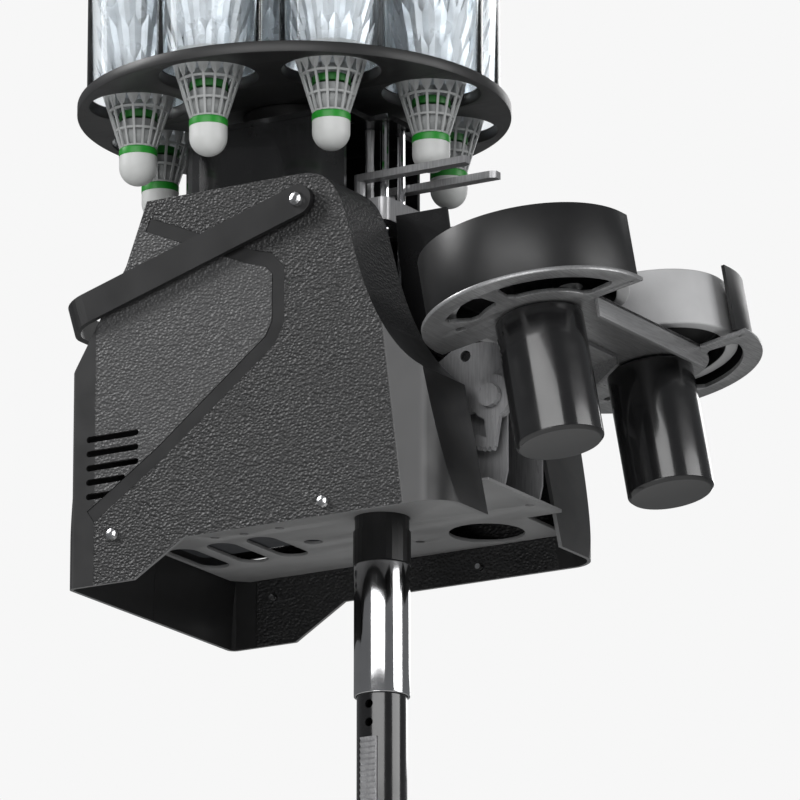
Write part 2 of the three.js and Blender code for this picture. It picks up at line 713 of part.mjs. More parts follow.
// The shuttles nested above the lowest one: the next cork, then one saw tooth for each skirt
function nestedShuttles() {
  const slope = (skirt_mouth_r - skirt_start_r) / skirt_height;
  const next_cork_top = cork_top_z + stack_pitch;
  const next_band_top = next_cork_top + band_height;
  const core_start = cork_top_z - ring_height;
  const sphere_z = next_cork_top - cork_straight;
  const profile = [[0, core_start], [cork_r * 0.6, core_start], [cork_r * 0.94, sphere_z - cork_r * 0.34],
    [cork_r, sphere_z], [cork_r, next_cork_top], [skirt_start_r, next_band_top]];
  for (let i = 1; i <= stack_count; i++) {
    const mouth_z = skirt_top_z + i * stack_pitch;
    profile.push([skirt_mouth_r, mouth_z]);
    if (i < stack_count) profile.push([skirt_mouth_r - slope * stack_pitch, mouth_z]);
  }
  const top = skirt_top_z + stack_count * stack_pitch;
  const bore_z = (radius) => next_band_top + (radius - skirt_start_r + skirt_wall) / slope;
  const drop = (skirt_mouth_r - skirt_wall - stack_bore_r) / slope;
  profile.push([skirt_mouth_r - skirt_wall, top], [stack_bore_r, top - drop], [stack_bore_r, bore_z(stack_bore_r)],
    [skirt_start_r - skirt_wall, next_band_top], [0, next_band_top]);
  return turned(profile, rib_count);
}

function shuttleStackPiece() {
  const cork = turned([[0, shuttle_tip_z], [cork_r * 0.5, shuttle_tip_z + cork_r * 0.14],
    [cork_r * 0.87, shuttle_tip_z + cork_r * 0.5], [cork_r, shuttle_tip_z + cork_r], [cork_r, cork_top_z],
    [cork_r, skirt_bottom_z], [0, skirt_bottom_z]], rib_count);
  return joinAll([cork, skirtCage(), nestedShuttles()]);
}

// Lift
function guideRodPiece(side) {
  return rod(rod_r, socket_top_z + seat_gap, neck_top_z, small_sides)
    .translate([rod_x, (side * rod_spacing) / 2, 0]);
}

function liftMotorPiece() {
  const flange_half = frame_inner_half - seat_gap;
  const top = lift_motor_bottom_z + lift_motor_height;
  const flange = block(screw_x - lift_motor_r, rod_x - rod_r - slide_gap, -flange_half, flange_half,
    top - 2 * frame_thickness, top);
  return rod(lift_motor_r, lift_motor_bottom_z, top - frame_thickness, 20).translate([screw_x, 0, 0]).add(flange);
}

function liftScrewPiece() {
  const bottom = lift_motor_bottom_z + lift_motor_height + seat_gap;
  const top = neck_top_z;
  const count = Math.floor((top - bottom) / screw_thread_pitch);
  const profile = [[0, bottom]];
  for (let i = 0; i < count; i++) {
    const z = bottom + i * screw_thread_pitch;
    profile.push([screw_r, z], [screw_r - screw_thread_depth, z + screw_thread_pitch / 2]);
  }
  profile.push([screw_r, top], [0, top]);
  return turned(profile, 8).translate([screw_x, 0, 0]);
}

const carriage_top_z = finger_z - finger_leg_height;

function carriagePiece() {
  const bottom = carriage_top_z - carriage_height;
  const outline = roundedRect(carriage_back_x, carriage_front_x, -carriage_half_width, carriage_half_width,
    2 * rod_r);
  const bore = (radius, x, y) =>
    rod(radius, bottom - cut_overrun, carriage_top_z + cut_overrun, small_sides).translate([x, y, 0]);
  return cutAll(flatPlate(outline, bottom, carriage_top_z, 3), [
    bore(screw_r + slide_gap, screw_x, 0),
    bore(rod_r + slide_gap, rod_x, rod_spacing / 2),
    bore(rod_r + slide_gap, rod_x, -rod_spacing / 2),
    bore(finger_width / 2 + slide_gap, finger_pivot_x - finger_width, finger_y),
    bore(finger_width / 2 + slide_gap, finger_pivot_x - finger_width, -finger_y),
  ]);
}

const finger_y = (finger_gap + finger_width) / 2;

// A finger turns on its own post and has a shallow hollow where it meets the shuttle
function fingerPiece(side) {
  const half = finger_width / 2;
  const pivot = finger_pivot_x - finger_width;
  const shape = new THREE.Shape();
  shape.absarc(pivot, 0, half, quarter_turn, half_turn + quarter_turn);
  shape.lineTo(finger_tip_x - half, -half);
  shape.lineTo(finger_tip_x, -half / 2);
  shape.lineTo(finger_tip_x, half);
  const blade = flatPlate(shape, finger_z, finger_z + finger_height, 6);
  const post = rod(half, carriage_top_z - finger_post_depth, finger_z + finger_height / 2, small_sides)
    .translate([pivot, 0, 0]);
  const hollow = rod(cork_r + seat_gap, finger_z - cut_overrun, finger_z + finger_height + cut_overrun, 24)
    .translate([magazine_x + tube_ring_r, -finger_y, 0]);
  const arm = blade.subtract(hollow).add(post);
  return (side > 0 ? arm : solidOf(geometryOf(arm).scale(1, -1, 1))).translate([0, side * finger_y, 0]);
}

// Frame plates and the chute that turns a falling shuttle forward
function framePlatePiece(side) {
  const foot_x = socket_flange_r + 2 * cover_wall;
  const low = deck_top_z + seat_gap;
  const high = low + socket_flange_thickness + 2 * cover_wall;
  const shape = polygon([[foot_x, low], [frame_front_x - cover_wall, low], [frame_front_x, low + 4 * cover_wall],
    [frame_front_x, frame_top_z - 4 * cover_wall], [frame_front_x - 4 * cover_wall, frame_top_z],
    [frame_front_x - socket_flange_r, frame_top_z], [foot_x, frame_top_z - socket_flange_r / 2],
    [frame_back_x, frame_top_z - socket_flange_r / 2], [frame_back_x, high], [foot_x - 2 * cover_wall, high]]);
  const y0 = side > 0 ? frame_inner_half : -frame_inner_half - frame_thickness;
  const plate = sidePlate(shape, y0, y0 + frame_thickness);
  const through = (radius, x, z) =>
    rod(radius, y0 - cut_overrun, y0 + frame_thickness + cut_overrun, small_sides)
      .rotate([-90, 0, 0]).translate([x, 0, z]);
  return cutAll(plate, [
    through(pivot_pin_r + slide_gap, pivot_x, pivot_z),
    through(sector_inner_r / 2, pivot_x - 2 * sector_inner_r, pivot_z + sector_inner_r / 2),
    through(2 * frame_thickness, pivot_x - sector_inner_r, frame_top_z - 4 * frame_thickness),
  ]);
}

function chutePiece() {
  const wall = chute_wall;
  const inside = chute_half_width - wall;
  const end_x = frame_front_x - 8 * wall;
  const bend = new THREE.Shape();
  bend.moveTo(chute_top_x, chute_top_z);
  bend.quadraticCurveTo(chute_top_x + 2 * wall, chute_low_z - 20 * wall, end_x, chute_low_z - 16 * wall);
  bend.lineTo(end_x, chute_low_z);
  bend.quadraticCurveTo(end_x - 10 * wall, chute_low_z, end_x - 12 * wall, chute_low_z + 12 * wall);
  bend.lineTo(end_x - 16 * wall, chute_top_z);
  const hollow = new THREE.Shape();
  hollow.moveTo(chute_top_x + wall, chute_top_z + cut_overrun);
  hollow.quadraticCurveTo(chute_top_x + 3 * wall, chute_low_z - 18 * wall, end_x + cut_overrun,
    chute_low_z - 15 * wall);
  hollow.lineTo(end_x + cut_overrun, chute_top_z + cut_overrun);
  return sidePlate(bend, -chute_half_width, chute_half_width).subtract(sidePlate(hollow, -inside, inside));
}

function pivotPinPiece() {
  const half = sectorOuterY() + seat_gap;
  const reach = half + pivot_pin_r;
  const pin = turned([[0, -reach], [pivot_pin_r * 1.6, -reach], [pivot_pin_r * 1.6, -half], [pivot_pin_r, -half],
    [pivot_pin_r, half], [pivot_pin_r * 1.6, half], [pivot_pin_r * 1.6, reach], [0, reach]], small_sides);
  return pin.rotate([90, 0, 0]).translate([pivot_x, 0, pivot_z]);
}

// Launcher head, modelled with its pivot at the origin and its plate level
const launcher = new THREE.Group();
launcher.position.set(pivot_x, 0, pivot_z);
launcher.rotation.y = -radians(launch_tilt_deg);
machine.add(launcher);

function launcherPlatePiece() {
  const half_disc = (side) => {
    const shape = new THREE.Shape();
    const start = side > 0 ? 0 : half_turn;
    shape.moveTo(wheel_axis_x + side * plate_ring_r, side * plate_bridge_reach);
    shape.absarc(wheel_axis_x, side * wheel_y, plate_ring_r, start, start + half_turn);
    shape.lineTo(wheel_axis_x - side * plate_ring_r, side * plate_bridge_reach);
    return flatPlate(shape, plate_z, plate_z + plate_thickness, 18);
  };
  const bridge = block(wheel_axis_x - plate_bridge_half, wheel_axis_x + plate_bridge_half,
    -plate_bridge_reach - cut_overrun, plate_bridge_reach + cut_overrun, plate_z, plate_z + plate_thickness);
  const front = wheel_axis_x + plate_bridge_half;
  const flange = block(front - plate_thickness, front, -plate_bridge_reach, plate_bridge_reach,
    plate_z - plate_flange_height + plate_thickness, plate_z + plate_thickness);
  const slots = [-1, 1].flatMap((side) => launcherSlots(side));
  return cutAll(joinAll([half_disc(1), half_disc(-1), bridge, flange]), slots);
}

// Curved windows round each motor, with spokes left between them, and the hole for the motor's boss
function launcherSlots(side) {
  const bottom = plate_z - cut_overrun;
  const top = plate_z + plate_thickness + cut_overrun;
  const starts_share = [0.04, 0.29, 0.54, 0.79];
  const windows = starts_share.map((share) => {
    const from = side * (share * half_turn * 0.99);
    const to = from + side * half_turn * 0.18;
    const shape = new THREE.Shape();
    shape.absarc(0, 0, plate_slot_outer_r, from, to, side < 0);
    shape.absarc(0, 0, plate_slot_inner_r, to, from, side > 0);
    return flatPlate(shape, bottom, top, 3).translate([wheel_axis_x, side * wheel_y, 0]);
  });
  const boss = rod(motor_boss_r + seat_gap, bottom, top)
    .translate([wheel_axis_x, side * wheel_y, 0]);
  return [...windows, boss];
}

// Cheek plates that hang from the bridge and carry the pivot, joined by a rear cross bar
function cradlePiece() {
  const top = plate_z - seat_gap;
  const back = wheel_axis_x - plate_bridge_half;
  const reach = back + plate_bridge_half;
  const shape = new THREE.Shape();
  shape.moveTo(reach, top);
  shape.lineTo(back, top);
  shape.lineTo(-cheek_r * 0.4, cheek_r * 0.92);
  shape.absarc(0, 0, cheek_r, radians(114), radians(286), false);
  shape.lineTo(reach, top - plate_flange_height / 2);
  const cheeks = [-1, 1].map((side) => {
    const y0 = side > 0 ? cheek_inner_half : -cheek_inner_half - cheek_thickness;
    return sidePlate(shape, y0, y0 + cheek_thickness);
  });
  const bar_back = back + 2 * cheek_thickness;
  const bar = block(bar_back, reach, -cheek_inner_half - cheek_thickness, cheek_inner_half + cheek_thickness,
    top - cheek_thickness, top);
  const pin = rod(pivot_pin_r + seat_gap, -2 * cheek_inner_half, 2 * cheek_inner_half, small_sides)
    .rotate([90, 0, 0]);
  return joinAll([...cheeks, bar]).subtract(pin);
}

function sectorPiece() {
  const half_tooth = sector_tooth_depth / 2;
  const root = sector_pitch_r - half_tooth;
  const tip = sector_pitch_r + half_tooth;
  const turn_offset = launch_tilt_deg;
  const first = sector_middle_deg - sector_half_deg - turn_offset;
  const count = Math.floor((2 * sector_half_deg) / sector_tooth_pitch_deg);
  const at = (radius, degrees) => [radius * Math.cos(radians(degrees)), radius * Math.sin(radians(degrees))];
  const teeth = Array.from({ length: count }, (_, i) => {
    const start = first + i * sector_tooth_pitch_deg;
    const shares = [[root, 0], [root, 0.2], [tip, 0.38], [tip, 0.62], [root, 0.8]];
    return shares.map(([radius, share]) => at(radius, start + share * sector_tooth_pitch_deg));
  }).flat();
  const last = first + count * sector_tooth_pitch_deg;
  const hub = Array.from({ length: 13 }, (_, i) => at(cheek_r, last + 20 + (i * (320 - 2 * sector_half_deg)) / 12));
  const plate = sidePlate(polygon([...teeth, at(root, last), ...hub]), -sectorOuterY(), -sectorInnerY());
  const window_degs = [first + 12, last - 12];
  const middle = (window_degs[0] + window_degs[1]) / 2;
  const window = polygon([at(sector_inner_r + 2 * half_tooth, window_degs[0]),
    at(sector_inner_r + 2 * half_tooth, middle), at(sector_inner_r + 2 * half_tooth, window_degs[1]),
    at(cheek_r + half_tooth, window_degs[1] - 12), at(cheek_r + half_tooth, middle),
    at(cheek_r + half_tooth, window_degs[0] + 12)]);
  const cut = sidePlate(window, -sectorOuterY() - cut_overrun, -sectorInnerY() + cut_overrun);
  const bore = rod(pivot_pin_r + seat_gap, 0, 2 * sectorOuterY(), small_sides).rotate([90, 0, 0]);
  return cutAll(plate, [cut, bore]);
}

function sectorInnerY() {
  return cheek_inner_half + cheek_thickness + seat_gap;
}

function sectorOuterY() {
  return sectorInnerY() + sector_thickness;
}

// Worm and tilt motor stand beside the near frame plate, square to the sector's middle
function placedAtSector(solid) {
  const reach = sector_pitch_r + sector_tooth_depth / 2 + slide_gap + worm_r;
  const x = pivot_x + reach * Math.cos(radians(sector_middle_deg));
  const z = pivot_z + reach * Math.sin(radians(sector_middle_deg));
  const y = -(sectorInnerY() + sector_thickness / 2);
  return solid.rotate([0, 180 - sector_middle_deg, 0]).translate([x, y, z]);
}

function wormPiece() {
  const half = worm_length / 2;
  const pitch = sector_pitch_r * radians(sector_tooth_pitch_deg);
  const count = Math.floor(worm_length / pitch);
  const profile = [[tilt_shaft_r + slide_gap, half], [tilt_shaft_r + slide_gap, -half]];
  for (let i = 0; i < count; i++) {
    const z = -half + i * pitch;
    profile.push([worm_r - worm_groove, z], [worm_r, z + pitch / 2]);
  }
  profile.push([worm_r - worm_groove, half]);
  return placedAtSector(turned(profile, small_sides));
}

function tiltMotorPiece() {
  const start = worm_length / 2 + seat_gap;
  const end = start + tilt_motor_length;
  const gap_to_plate = sectorInnerY() + sector_thickness / 2 - frame_inner_half - frame_thickness - seat_gap;
  const body = turned([[0, start - worm_length], [tilt_shaft_r, start - worm_length], [tilt_shaft_r, start],
    [tilt_motor_r, start], [tilt_motor_r, end], [0, end]], 24);
  const foot = block(-tilt_motor_r, tilt_motor_r, 0, gap_to_plate, start, end);
  return placedAtSector(body.add(foot));
}

function launchMotorPiece(side) {
  const top = plate_z - seat_gap;
  const bottom = top - motor_height;
  const shaft_top = plate_z + plate_thickness + wheel_lift + wheel_width - wheel_rim;
  const motor = turned([[0, bottom], [motor_r - motor_edge, bottom], [motor_r, bottom + motor_edge],
    [motor_r, top - motor_edge], [motor_r - motor_edge, top], [motor_boss_r, top],
    [motor_boss_r, plate_z + plate_thickness], [motor_shaft_r, plate_z + plate_thickness],
    [motor_shaft_r, shaft_top], [0, shaft_top]]);
  return motor.translate([wheel_axis_x, side * wheel_y, 0]);
}

// Drawn round its own axis so that it can turn in place
function wheelPiece() {
  const bottom = plate_z + plate_thickness + wheel_lift;
  const top = bottom + wheel_width;
  const web_bottom = bottom + (wheel_width - wheel_web) / 2;
  const inner = wheel_r - wheel_rim;
  const bore = motor_shaft_r + slide_gap;
  const wheel = turned([[bore, bottom], [wheel_hub_r, bottom], [wheel_hub_r, web_bottom], [inner, web_bottom],
    [inner, bottom], [wheel_r, bottom], [wheel_r, top], [inner, top], [inner, web_bottom + wheel_web], [wheel_hub_r, web_bottom + wheel_web],
    [wheel_hub_r, top], [bore, top]], round_sides);
  const hole_ring_r = (inner + wheel_hub_r) / 2;
  const holes = Array.from({ length: wheel_hole_count }, (_, i) => {
    const turn = (i * full_turn) / wheel_hole_count;
    return rod(wheel_hole_r, web_bottom - cut_overrun, web_bottom + wheel_web + cut_overrun, small_sides)
      .translate([hole_ring_r * Math.cos(turn), hole_ring_r * Math.sin(turn), 0]);
  });
  return cutAll(wheel, holes);
}

function guardPiece(side) {
  const inner = guard_r - guard_wall;
  const shape = new THREE.Shape();
  shape.moveTo(guard_r, -guard_lip);
  shape.absarc(0, 0, guard_r, 0, half_turn, false);
  shape.lineTo(-guard_r, -guard_lip);
  shape.lineTo(-inner, -guard_lip);
  shape.absarc(0, 0, inner, half_turn, 0, true);
  shape.lineTo(inner, -guard_lip);
  const bottom = plate_z + plate_thickness + seat_gap;
  return flatPlate(shape, bottom, bottom + guard_height, 18).rotate([0, 0, side > 0 ? 0 : 180])
    .translate([wheel_axis_x, side * wheel_y, 0]);
}

function batteryPiece() {
  const outline = roundedRect(battery_x - battery_length / 2, battery_x + battery_length / 2, -battery_width / 2,
    battery_width / 2, battery_corner_r);
  const bottom = deck_top_z + seat_gap;
  return flatPlate(outline, bottom, bottom + battery_height, 4);
}

// Assembly
addPiece("pole_end_cap", endCapPiece(), looks.satin);
addPiece("lower_pole", polePiece(), looks.gloss);
addPiece("rack_strip", rackPiece(), looks.bare);
addPiece("mast_sleeve", tube(sleeve_r, pole_r + seat_gap, sleeve_bottom_z, sleeve_top_z), looks.chrome);
addPiece("mast_collar", collarPiece(), looks.satin);
addPiece("swivel_socket", socketPiece(), looks.satin);
addPiece("deck_plate", deckPiece(), looks.sheet);
addPiece("cover_near", coverPiece(-1), looks.sheet);
addPiece("cover_far", coverPiece(1), looks.sheet);
for (const [side, label] of [[-1, "near"], [1, "far"]]) {
  screwPlaces().forEach(([x, z], i) =>
    addPiece(`cover_screw_${label}_${i + 1}`, coverScrewPiece(side, x, z), looks.screw));
  addPiece(`handle_bolt_${label}`, handleBoltPiece(side), looks.screw);
  addPiece(`frame_plate_${label}`, framePlatePiece(side), looks.bare);
  addPiece(`guide_rod_${label}`, guideRodPiece(side), looks.chrome);
  addPiece(`finger_${label}`, fingerPiece(side), looks.satin);
}
addPiece("carry_handle", handlePiece(), looks.satin);
addPiece("battery_pack", batteryPiece(), looks.battery);
addPiece("neck_column", neckPiece(), looks.sheet);
addPiece("neck_top_plate", neckPlatePiece(), looks.sheet);
addPiece("carousel_motor", carouselMotorPiece(), looks.motor);
addPiece("lift_motor", liftMotorPiece(), looks.motor);
addPiece("lift_screw", liftScrewPiece(), looks.bare);
addPiece("lift_carriage", carriagePiece(), looks.satin);
addPiece("feed_chute", chutePiece(), looks.sheet);
addPiece("pivot_shaft", pivotPinPiece(), looks.bare);
addPiece("tilt_motor", tiltMotorPiece(), looks.motor);
addPiece("tilt_worm", wormPiece(), looks.bare);

addPiece("launcher_plate", launcherPlatePiece(), looks.plate, launcher);
addPiece("launcher_cradle", cradlePiece(), looks.plate, launcher);
addPiece("sector_gear", sectorPiece(), looks.bare, launcher);
const wheel = wheelPiece();
for (const [side, label] of [[-1, "near"], [1, "far"]]) {
  addPiece(`launch_motor_${label}`, launchMotorPiece(side), looks.motor, launcher);
  addPiece(`guard_${label}`, guardPiece(side), looks.satin, launcher);
  addPiece(`wheel_${label}`, wheel, looks.wheel, launcher).position.set(wheel_axis_x, side * wheel_y, 0);
}

const magazine = new THREE.Group();
magazine.position.set(magazine_x, 0, 0);
machine.add(magazine);
addPiece("magazine_disc", discPiece(), looks.disc, magazine);
addPiece("magazine_top_ring", topRingPiece(), looks.clear, magazine);
const one_tube = tubePiece();
const one_stack = shuttleStackPiece();
for (let i = 0; i < tube_count; i++) {
  const [x, y] = tubePlace(i);
  addPiece(`tube_${i + 1}`, one_tube, looks.clear, magazine).position.set(x, y, 0);
  addPiece(`shuttle_stack_${i + 1}`, one_stack, looks.nylon, magazine).position.set(x, y, 0);
}

export default machine;
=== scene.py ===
import json
import math
import bmesh
import bpy
from mathutils import Matrix, Vector


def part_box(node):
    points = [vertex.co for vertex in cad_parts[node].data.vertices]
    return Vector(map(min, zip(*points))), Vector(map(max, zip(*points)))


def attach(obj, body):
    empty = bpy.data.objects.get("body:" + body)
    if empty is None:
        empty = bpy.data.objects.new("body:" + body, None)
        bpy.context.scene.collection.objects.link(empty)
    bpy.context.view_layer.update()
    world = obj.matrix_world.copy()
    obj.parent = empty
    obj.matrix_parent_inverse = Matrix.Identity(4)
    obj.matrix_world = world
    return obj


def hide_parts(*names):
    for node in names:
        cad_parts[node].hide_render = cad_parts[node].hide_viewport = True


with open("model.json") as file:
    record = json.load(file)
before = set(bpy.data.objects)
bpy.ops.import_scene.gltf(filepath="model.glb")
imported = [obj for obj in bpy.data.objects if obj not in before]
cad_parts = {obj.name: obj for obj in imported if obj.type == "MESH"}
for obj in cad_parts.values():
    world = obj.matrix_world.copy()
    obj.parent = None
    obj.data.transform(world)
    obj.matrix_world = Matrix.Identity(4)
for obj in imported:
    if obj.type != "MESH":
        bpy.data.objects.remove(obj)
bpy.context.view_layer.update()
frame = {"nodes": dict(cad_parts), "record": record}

nodes = frame["nodes"]
scene = bpy.context.scene
scene.view_settings.view_transform = "Standard"

# Camera: fitted to the photograph, which looks up at the machine from below
camera_place = Vector((2.52409, -4.15459, -1.0111))
camera_target = Vector((0.01415, 0.0, 0.35076))
image_side_px = 800
focal_px = 7443.2
sensor_mm = 36.0
view_depth = 60.0

camera_data = bpy.data.cameras.new("camera")
camera_data.sensor_width = sensor_mm
camera_data.lens = focal_px / image_side_px * sensor_mm
camera_data.clip_end = view_depth
camera = bpy.data.objects.new("camera", camera_data)
camera.location = camera_place
camera.rotation_euler = (camera_target - camera_place).to_track_quat("-Z", "Y").to_euler()
scene.collection.objects.link(camera)
bpy.context.scene.camera = camera

# Places that several pieces share, in metres
launch_pivot = Vector((0.106, 0.0, 0.332))
launch_tilt = math.radians(10.3)
to_launcher = Matrix.Translation(launch_pivot) @ Matrix.Rotation(-launch_tilt, 4, "Y")
wheel_axis_x = 0.0654
wheel_axis_y = 0.0746
magazine_x = -0.071
tube_ring_r = 0.110
tube_count = 8
seat_gap = 0.0003

# The groove and the edges of the grain on each side of the housing, in x and z
groove_line = [(-0.1232, 0.4693), (-0.0424, 0.4344), (-0.0262, 0.4296), (-0.0185, 0.4212), (-0.0185, 0.3852),
               (-0.0247, 0.3732), (-0.1114, 0.3072), (-0.1673, 0.2700)]
groove_upper_fall = 0.43
groove_lower_rise = 0.725
grain_front_foot = (0.0785, 0.2488)
grain_front_lean = 0.126
grain_back_x = -0.1640
# Across the housing, where the flat side face ends: the painted highlight on the strip in front of the grain
# stays on the side face
flat_side_y = 0.1031
flat_side_soft = 0.0005


def tube_place(i):
    turn = math.pi + i * 2 * math.pi / tube_count
    return Vector((magazine_x + tube_ring_r * math.cos(turn), tube_ring_r * math.sin(turn), 0.0))


# Materials
class Look:
    """A Principled material and the few node chains that the looks below share."""

    def __init__(self, name, colour, roughness, metallic=0.0):
        self.material = bpy.data.materials.new(name)
        self.material.use_nodes = True
        self.tree = self.material.node_tree
        self.shader = self.tree.nodes["Principled BSDF"]
        self.colour = colour
        self.roughness = roughness
        self.set("Base Color", (*colour, 1.0))
        self.set("Roughness", roughness)
        self.set("Metallic", metallic)
        self.coords = self.add("ShaderNodeTexCoord").outputs["Object"]
        self.split = None

    def set(self, socket, value):
        self.shader.inputs[socket].default_value = value

    def add(self, kind, **values):
        node = self.tree.nodes.new(kind)
        for key, value in values.items():
            setattr(node, key, value)
        return node

    def link(self, source, target):
        self.tree.links.new(source, target)

    def scaled(self, scale):
        mapping = self.add("ShaderNodeMapping")
        mapping.inputs["Scale"].default_value = scale
        self.link(self.coords, mapping.inputs["Vector"])
        return mapping.outputs["Vector"]

    def noise(self, scale, detail=3.0, stretch=(1.0, 1.0, 1.0)):
        node = self.add("ShaderNodeTexNoise")
        node.inputs["Scale"].default_value = scale
        node.inputs["Detail"].default_value = detail
        self.link(self.scaled(stretch), node.inputs["Vector"])
        return node.outputs["Fac"]

    def axes(self):
        """The object's X, Y and Z, split once for each material."""
        if self.split is None:
            self.split = self.add("ShaderNodeSeparateXYZ")
            self.link(self.coords, self.split.inputs[0])
        return self.split.outputs

    def half_plane(self, point, along, up, soft=0.0006):
        """1 where along*x + up*z is larger than at the (x, z) point, with a soft edge."""
        x, _, z = self.axes()
        total = self.math("ADD", self.math("MULTIPLY", x, along), self.math("MULTIPLY", z, up))
        above = self.math("SUBTRACT", total, along * point[0] + up * point[1])
        return self.ramp(above, -soft, soft, 0.0, 1.0)

    def cells(self, scale, smoothness, stretch):
        node = self.add("ShaderNodeTexVoronoi", feature="SMOOTH_F1")
        node.inputs["Scale"].default_value = scale
        node.inputs["Smoothness"].default_value = smoothness
        self.link(self.scaled(stretch), node.inputs["Vector"])
        return node.outputs["Distance"]

    def ramp(self, source, low, high, low_value, high_value):
        node = self.add("ShaderNodeMapRange")
        node.inputs["From Min"].default_value = low
        node.inputs["From Max"].default_value = high
        node.inputs["To Min"].default_value = low_value
        node.inputs["To Max"].default_value = high_value
        self.link(source, node.inputs["Value"])
        return node.outputs["Result"]

    def vary_colour(self, source, other, low=0.35, high=0.65):
        blended = self.blend(self.colour, other, self.ramp(source, low, high, 0.0, 1.0))
        self.link(blended, self.shader.inputs["Base Color"])

    def vary_roughness(self, source, spread):
        self.link(self.ramp(source, 0.3, 0.7, self.roughness - spread, self.roughness + spread),
                  self.shader.inputs["Roughness"])

    def bump(self, source, strength, distance):
        node = self.add("ShaderNodeBump")
        node.inputs["Strength"].default_value = strength
        node.inputs["Distance"].default_value = distance
        self.link(source, node.inputs["Height"])
        self.link(node.outputs["Normal"], self.shader.inputs["Normal"])

    def blend(self, first, second, share):
        """A colour that goes from the first (a colour or a socket) to the second by the share."""
        mix = self.add("ShaderNodeMix", data_type="RGBA")
        if isinstance(first, tuple):
            mix.inputs["A"].default_value = (*first, 1.0)
        else:
            self.link(first, mix.inputs["A"])
        mix.inputs["B"].default_value = (*second, 1.0)
        self.link(share, mix.inputs["Factor"])
        return mix.outputs["Result"]

    def math(self, operation, a, b):
        node = self.add("ShaderNodeMath", operation=operation)
        for value, socket in ((a, node.inputs[0]), (b, node.inputs[1])):
            if isinstance(value, (int, float)):
                socket.default_value = value
            else:
                self.link(value, socket)
        return node.outputs[0]


def hammered_sheet():
    """Leather grain that stops short of the bends, lighter behind the groove, with a painted highlight on the
    strip in front.
    """
    look = Look("hammered_sheet", (0.017, 0.017, 0.0175), 0.42)
    field_colour = (0.050, 0.050, 0.051)
    # Painted highlight: a lighter grey that stands in for the lamps' reflection on the flat strip in front of
    # the grain
    painted_highlight_colour = (0.095, 0.095, 0.096)
    ahead = look.half_plane(grain_front_foot, -1.0, -grain_front_lean)
    pressed = look.math("MULTIPLY", ahead, look.half_plane((grain_back_x, 0.0), 1.0, 0.0))
    above_lower_run = look.half_plane(groove_line[-1], -groove_lower_rise, 1.0)
    behind_upright = look.half_plane(groove_line[3], -1.0, 0.0)
    below_upper_run = look.half_plane(groove_line[0], -groove_upper_fall, -1.0)
    behind = look.math("MULTIPLY", above_lower_run, look.math("MULTIPLY", behind_upright, below_upper_run))
    grain = look.cells(400.0, 0.4, (1.0, 1.0, 1.35))
    fine = look.noise(750.0)
    height = look.math("MULTIPLY", look.math("ADD", grain, look.math("MULTIPLY", fine, 0.4)), pressed)
    look.bump(height, 0.7, 0.0011)
    field = look.blend(look.colour, field_colour, look.math("MULTIPLY", behind, pressed))
    across = look.math("ABSOLUTE", look.axes()[1], 0.0)
    flat_side = look.ramp(across, flat_side_y - flat_side_soft, flat_side_y + flat_side_soft, 0.0, 1.0)
    in_front = look.math("SUBTRACT", 1.0, ahead)
    # The flat strip in front of the grain, on the side face only, takes the painted highlight colour
    with_painted_highlight = look.blend(field, painted_highlight_colour, look.math("MULTIPLY", flat_side, in_front))
    look.link(with_painted_highlight, look.shader.inputs["Base Color"])
    look.vary_roughness(look.noise(60.0), 0.05)
    return look.material


def smooth_paint(name, colour, roughness, grain=0.12):
    look = Look(name, colour, roughness)
    look.vary_colour(look.noise(22.0), tuple(c * 1.16 for c in colour))
    look.vary_roughness(look.noise(45.0), 0.04)
    look.bump(look.noise(1600.0), grain, 0.0002)
    return look.material


def gloss_paint(name, colour, roughness):
    look = Look(name, colour, roughness)
    look.set("Coat Weight", 0.5)
    look.set("Coat Roughness", 0.08)
    look.vary_colour(look.noise(18.0), tuple(c * 1.3 for c in colour))
    look.vary_roughness(look.noise(70.0), 0.04)
    look.bump(look.noise(120.0), 0.03, 0.0003)
    return look.material


def brushed_metal(name, colour, roughness, stretch, metallic=0.55):
    look = Look(name, colour, roughness, metallic=metallic)
    lines = look.noise(60.0, detail=6.0, stretch=stretch)
    look.vary_colour(lines, tuple(c * 0.72 for c in colour))
    look.vary_roughness(lines, 0.09)
    look.bump(lines, 0.12, 0.0003)
    return look.material


def polished_metal(name, colour, roughness):
    look = Look(name, colour, roughness, metallic=1.0)
    look.vary_colour(look.noise(30.0), tuple(c * 0.86 for c in colour))
    look.vary_roughness(look.noise(90.0), 0.03)
    look.bump(look.noise(400.0, stretch=(1.0, 1.0, 0.1)), 0.02, 0.0002)
    return look.material


def clear_plastic(name, colour):
    look = Look(name, colour, 0.05)
    look.set("Transmission Weight", 1.0)
    look.set("IOR", 1.3)
    look.vary_roughness(look.noise(40.0), 0.03)
    look.bump(look.noise(8.0, stretch=(1.0, 1.0, 0.2)), 0.05, 0.002)
    return look.material


def moulded_plastic(name, colour, roughness, grain=0.15):
    look = Look(name, colour, roughness)
    look.vary_colour(look.noise(35.0), tuple(c * 0.9 for c in colour))
    look.vary_roughness(look.noise(80.0), 0.05)
    look.bump(look.noise(700.0), grain, 0.0003)
    return look.material


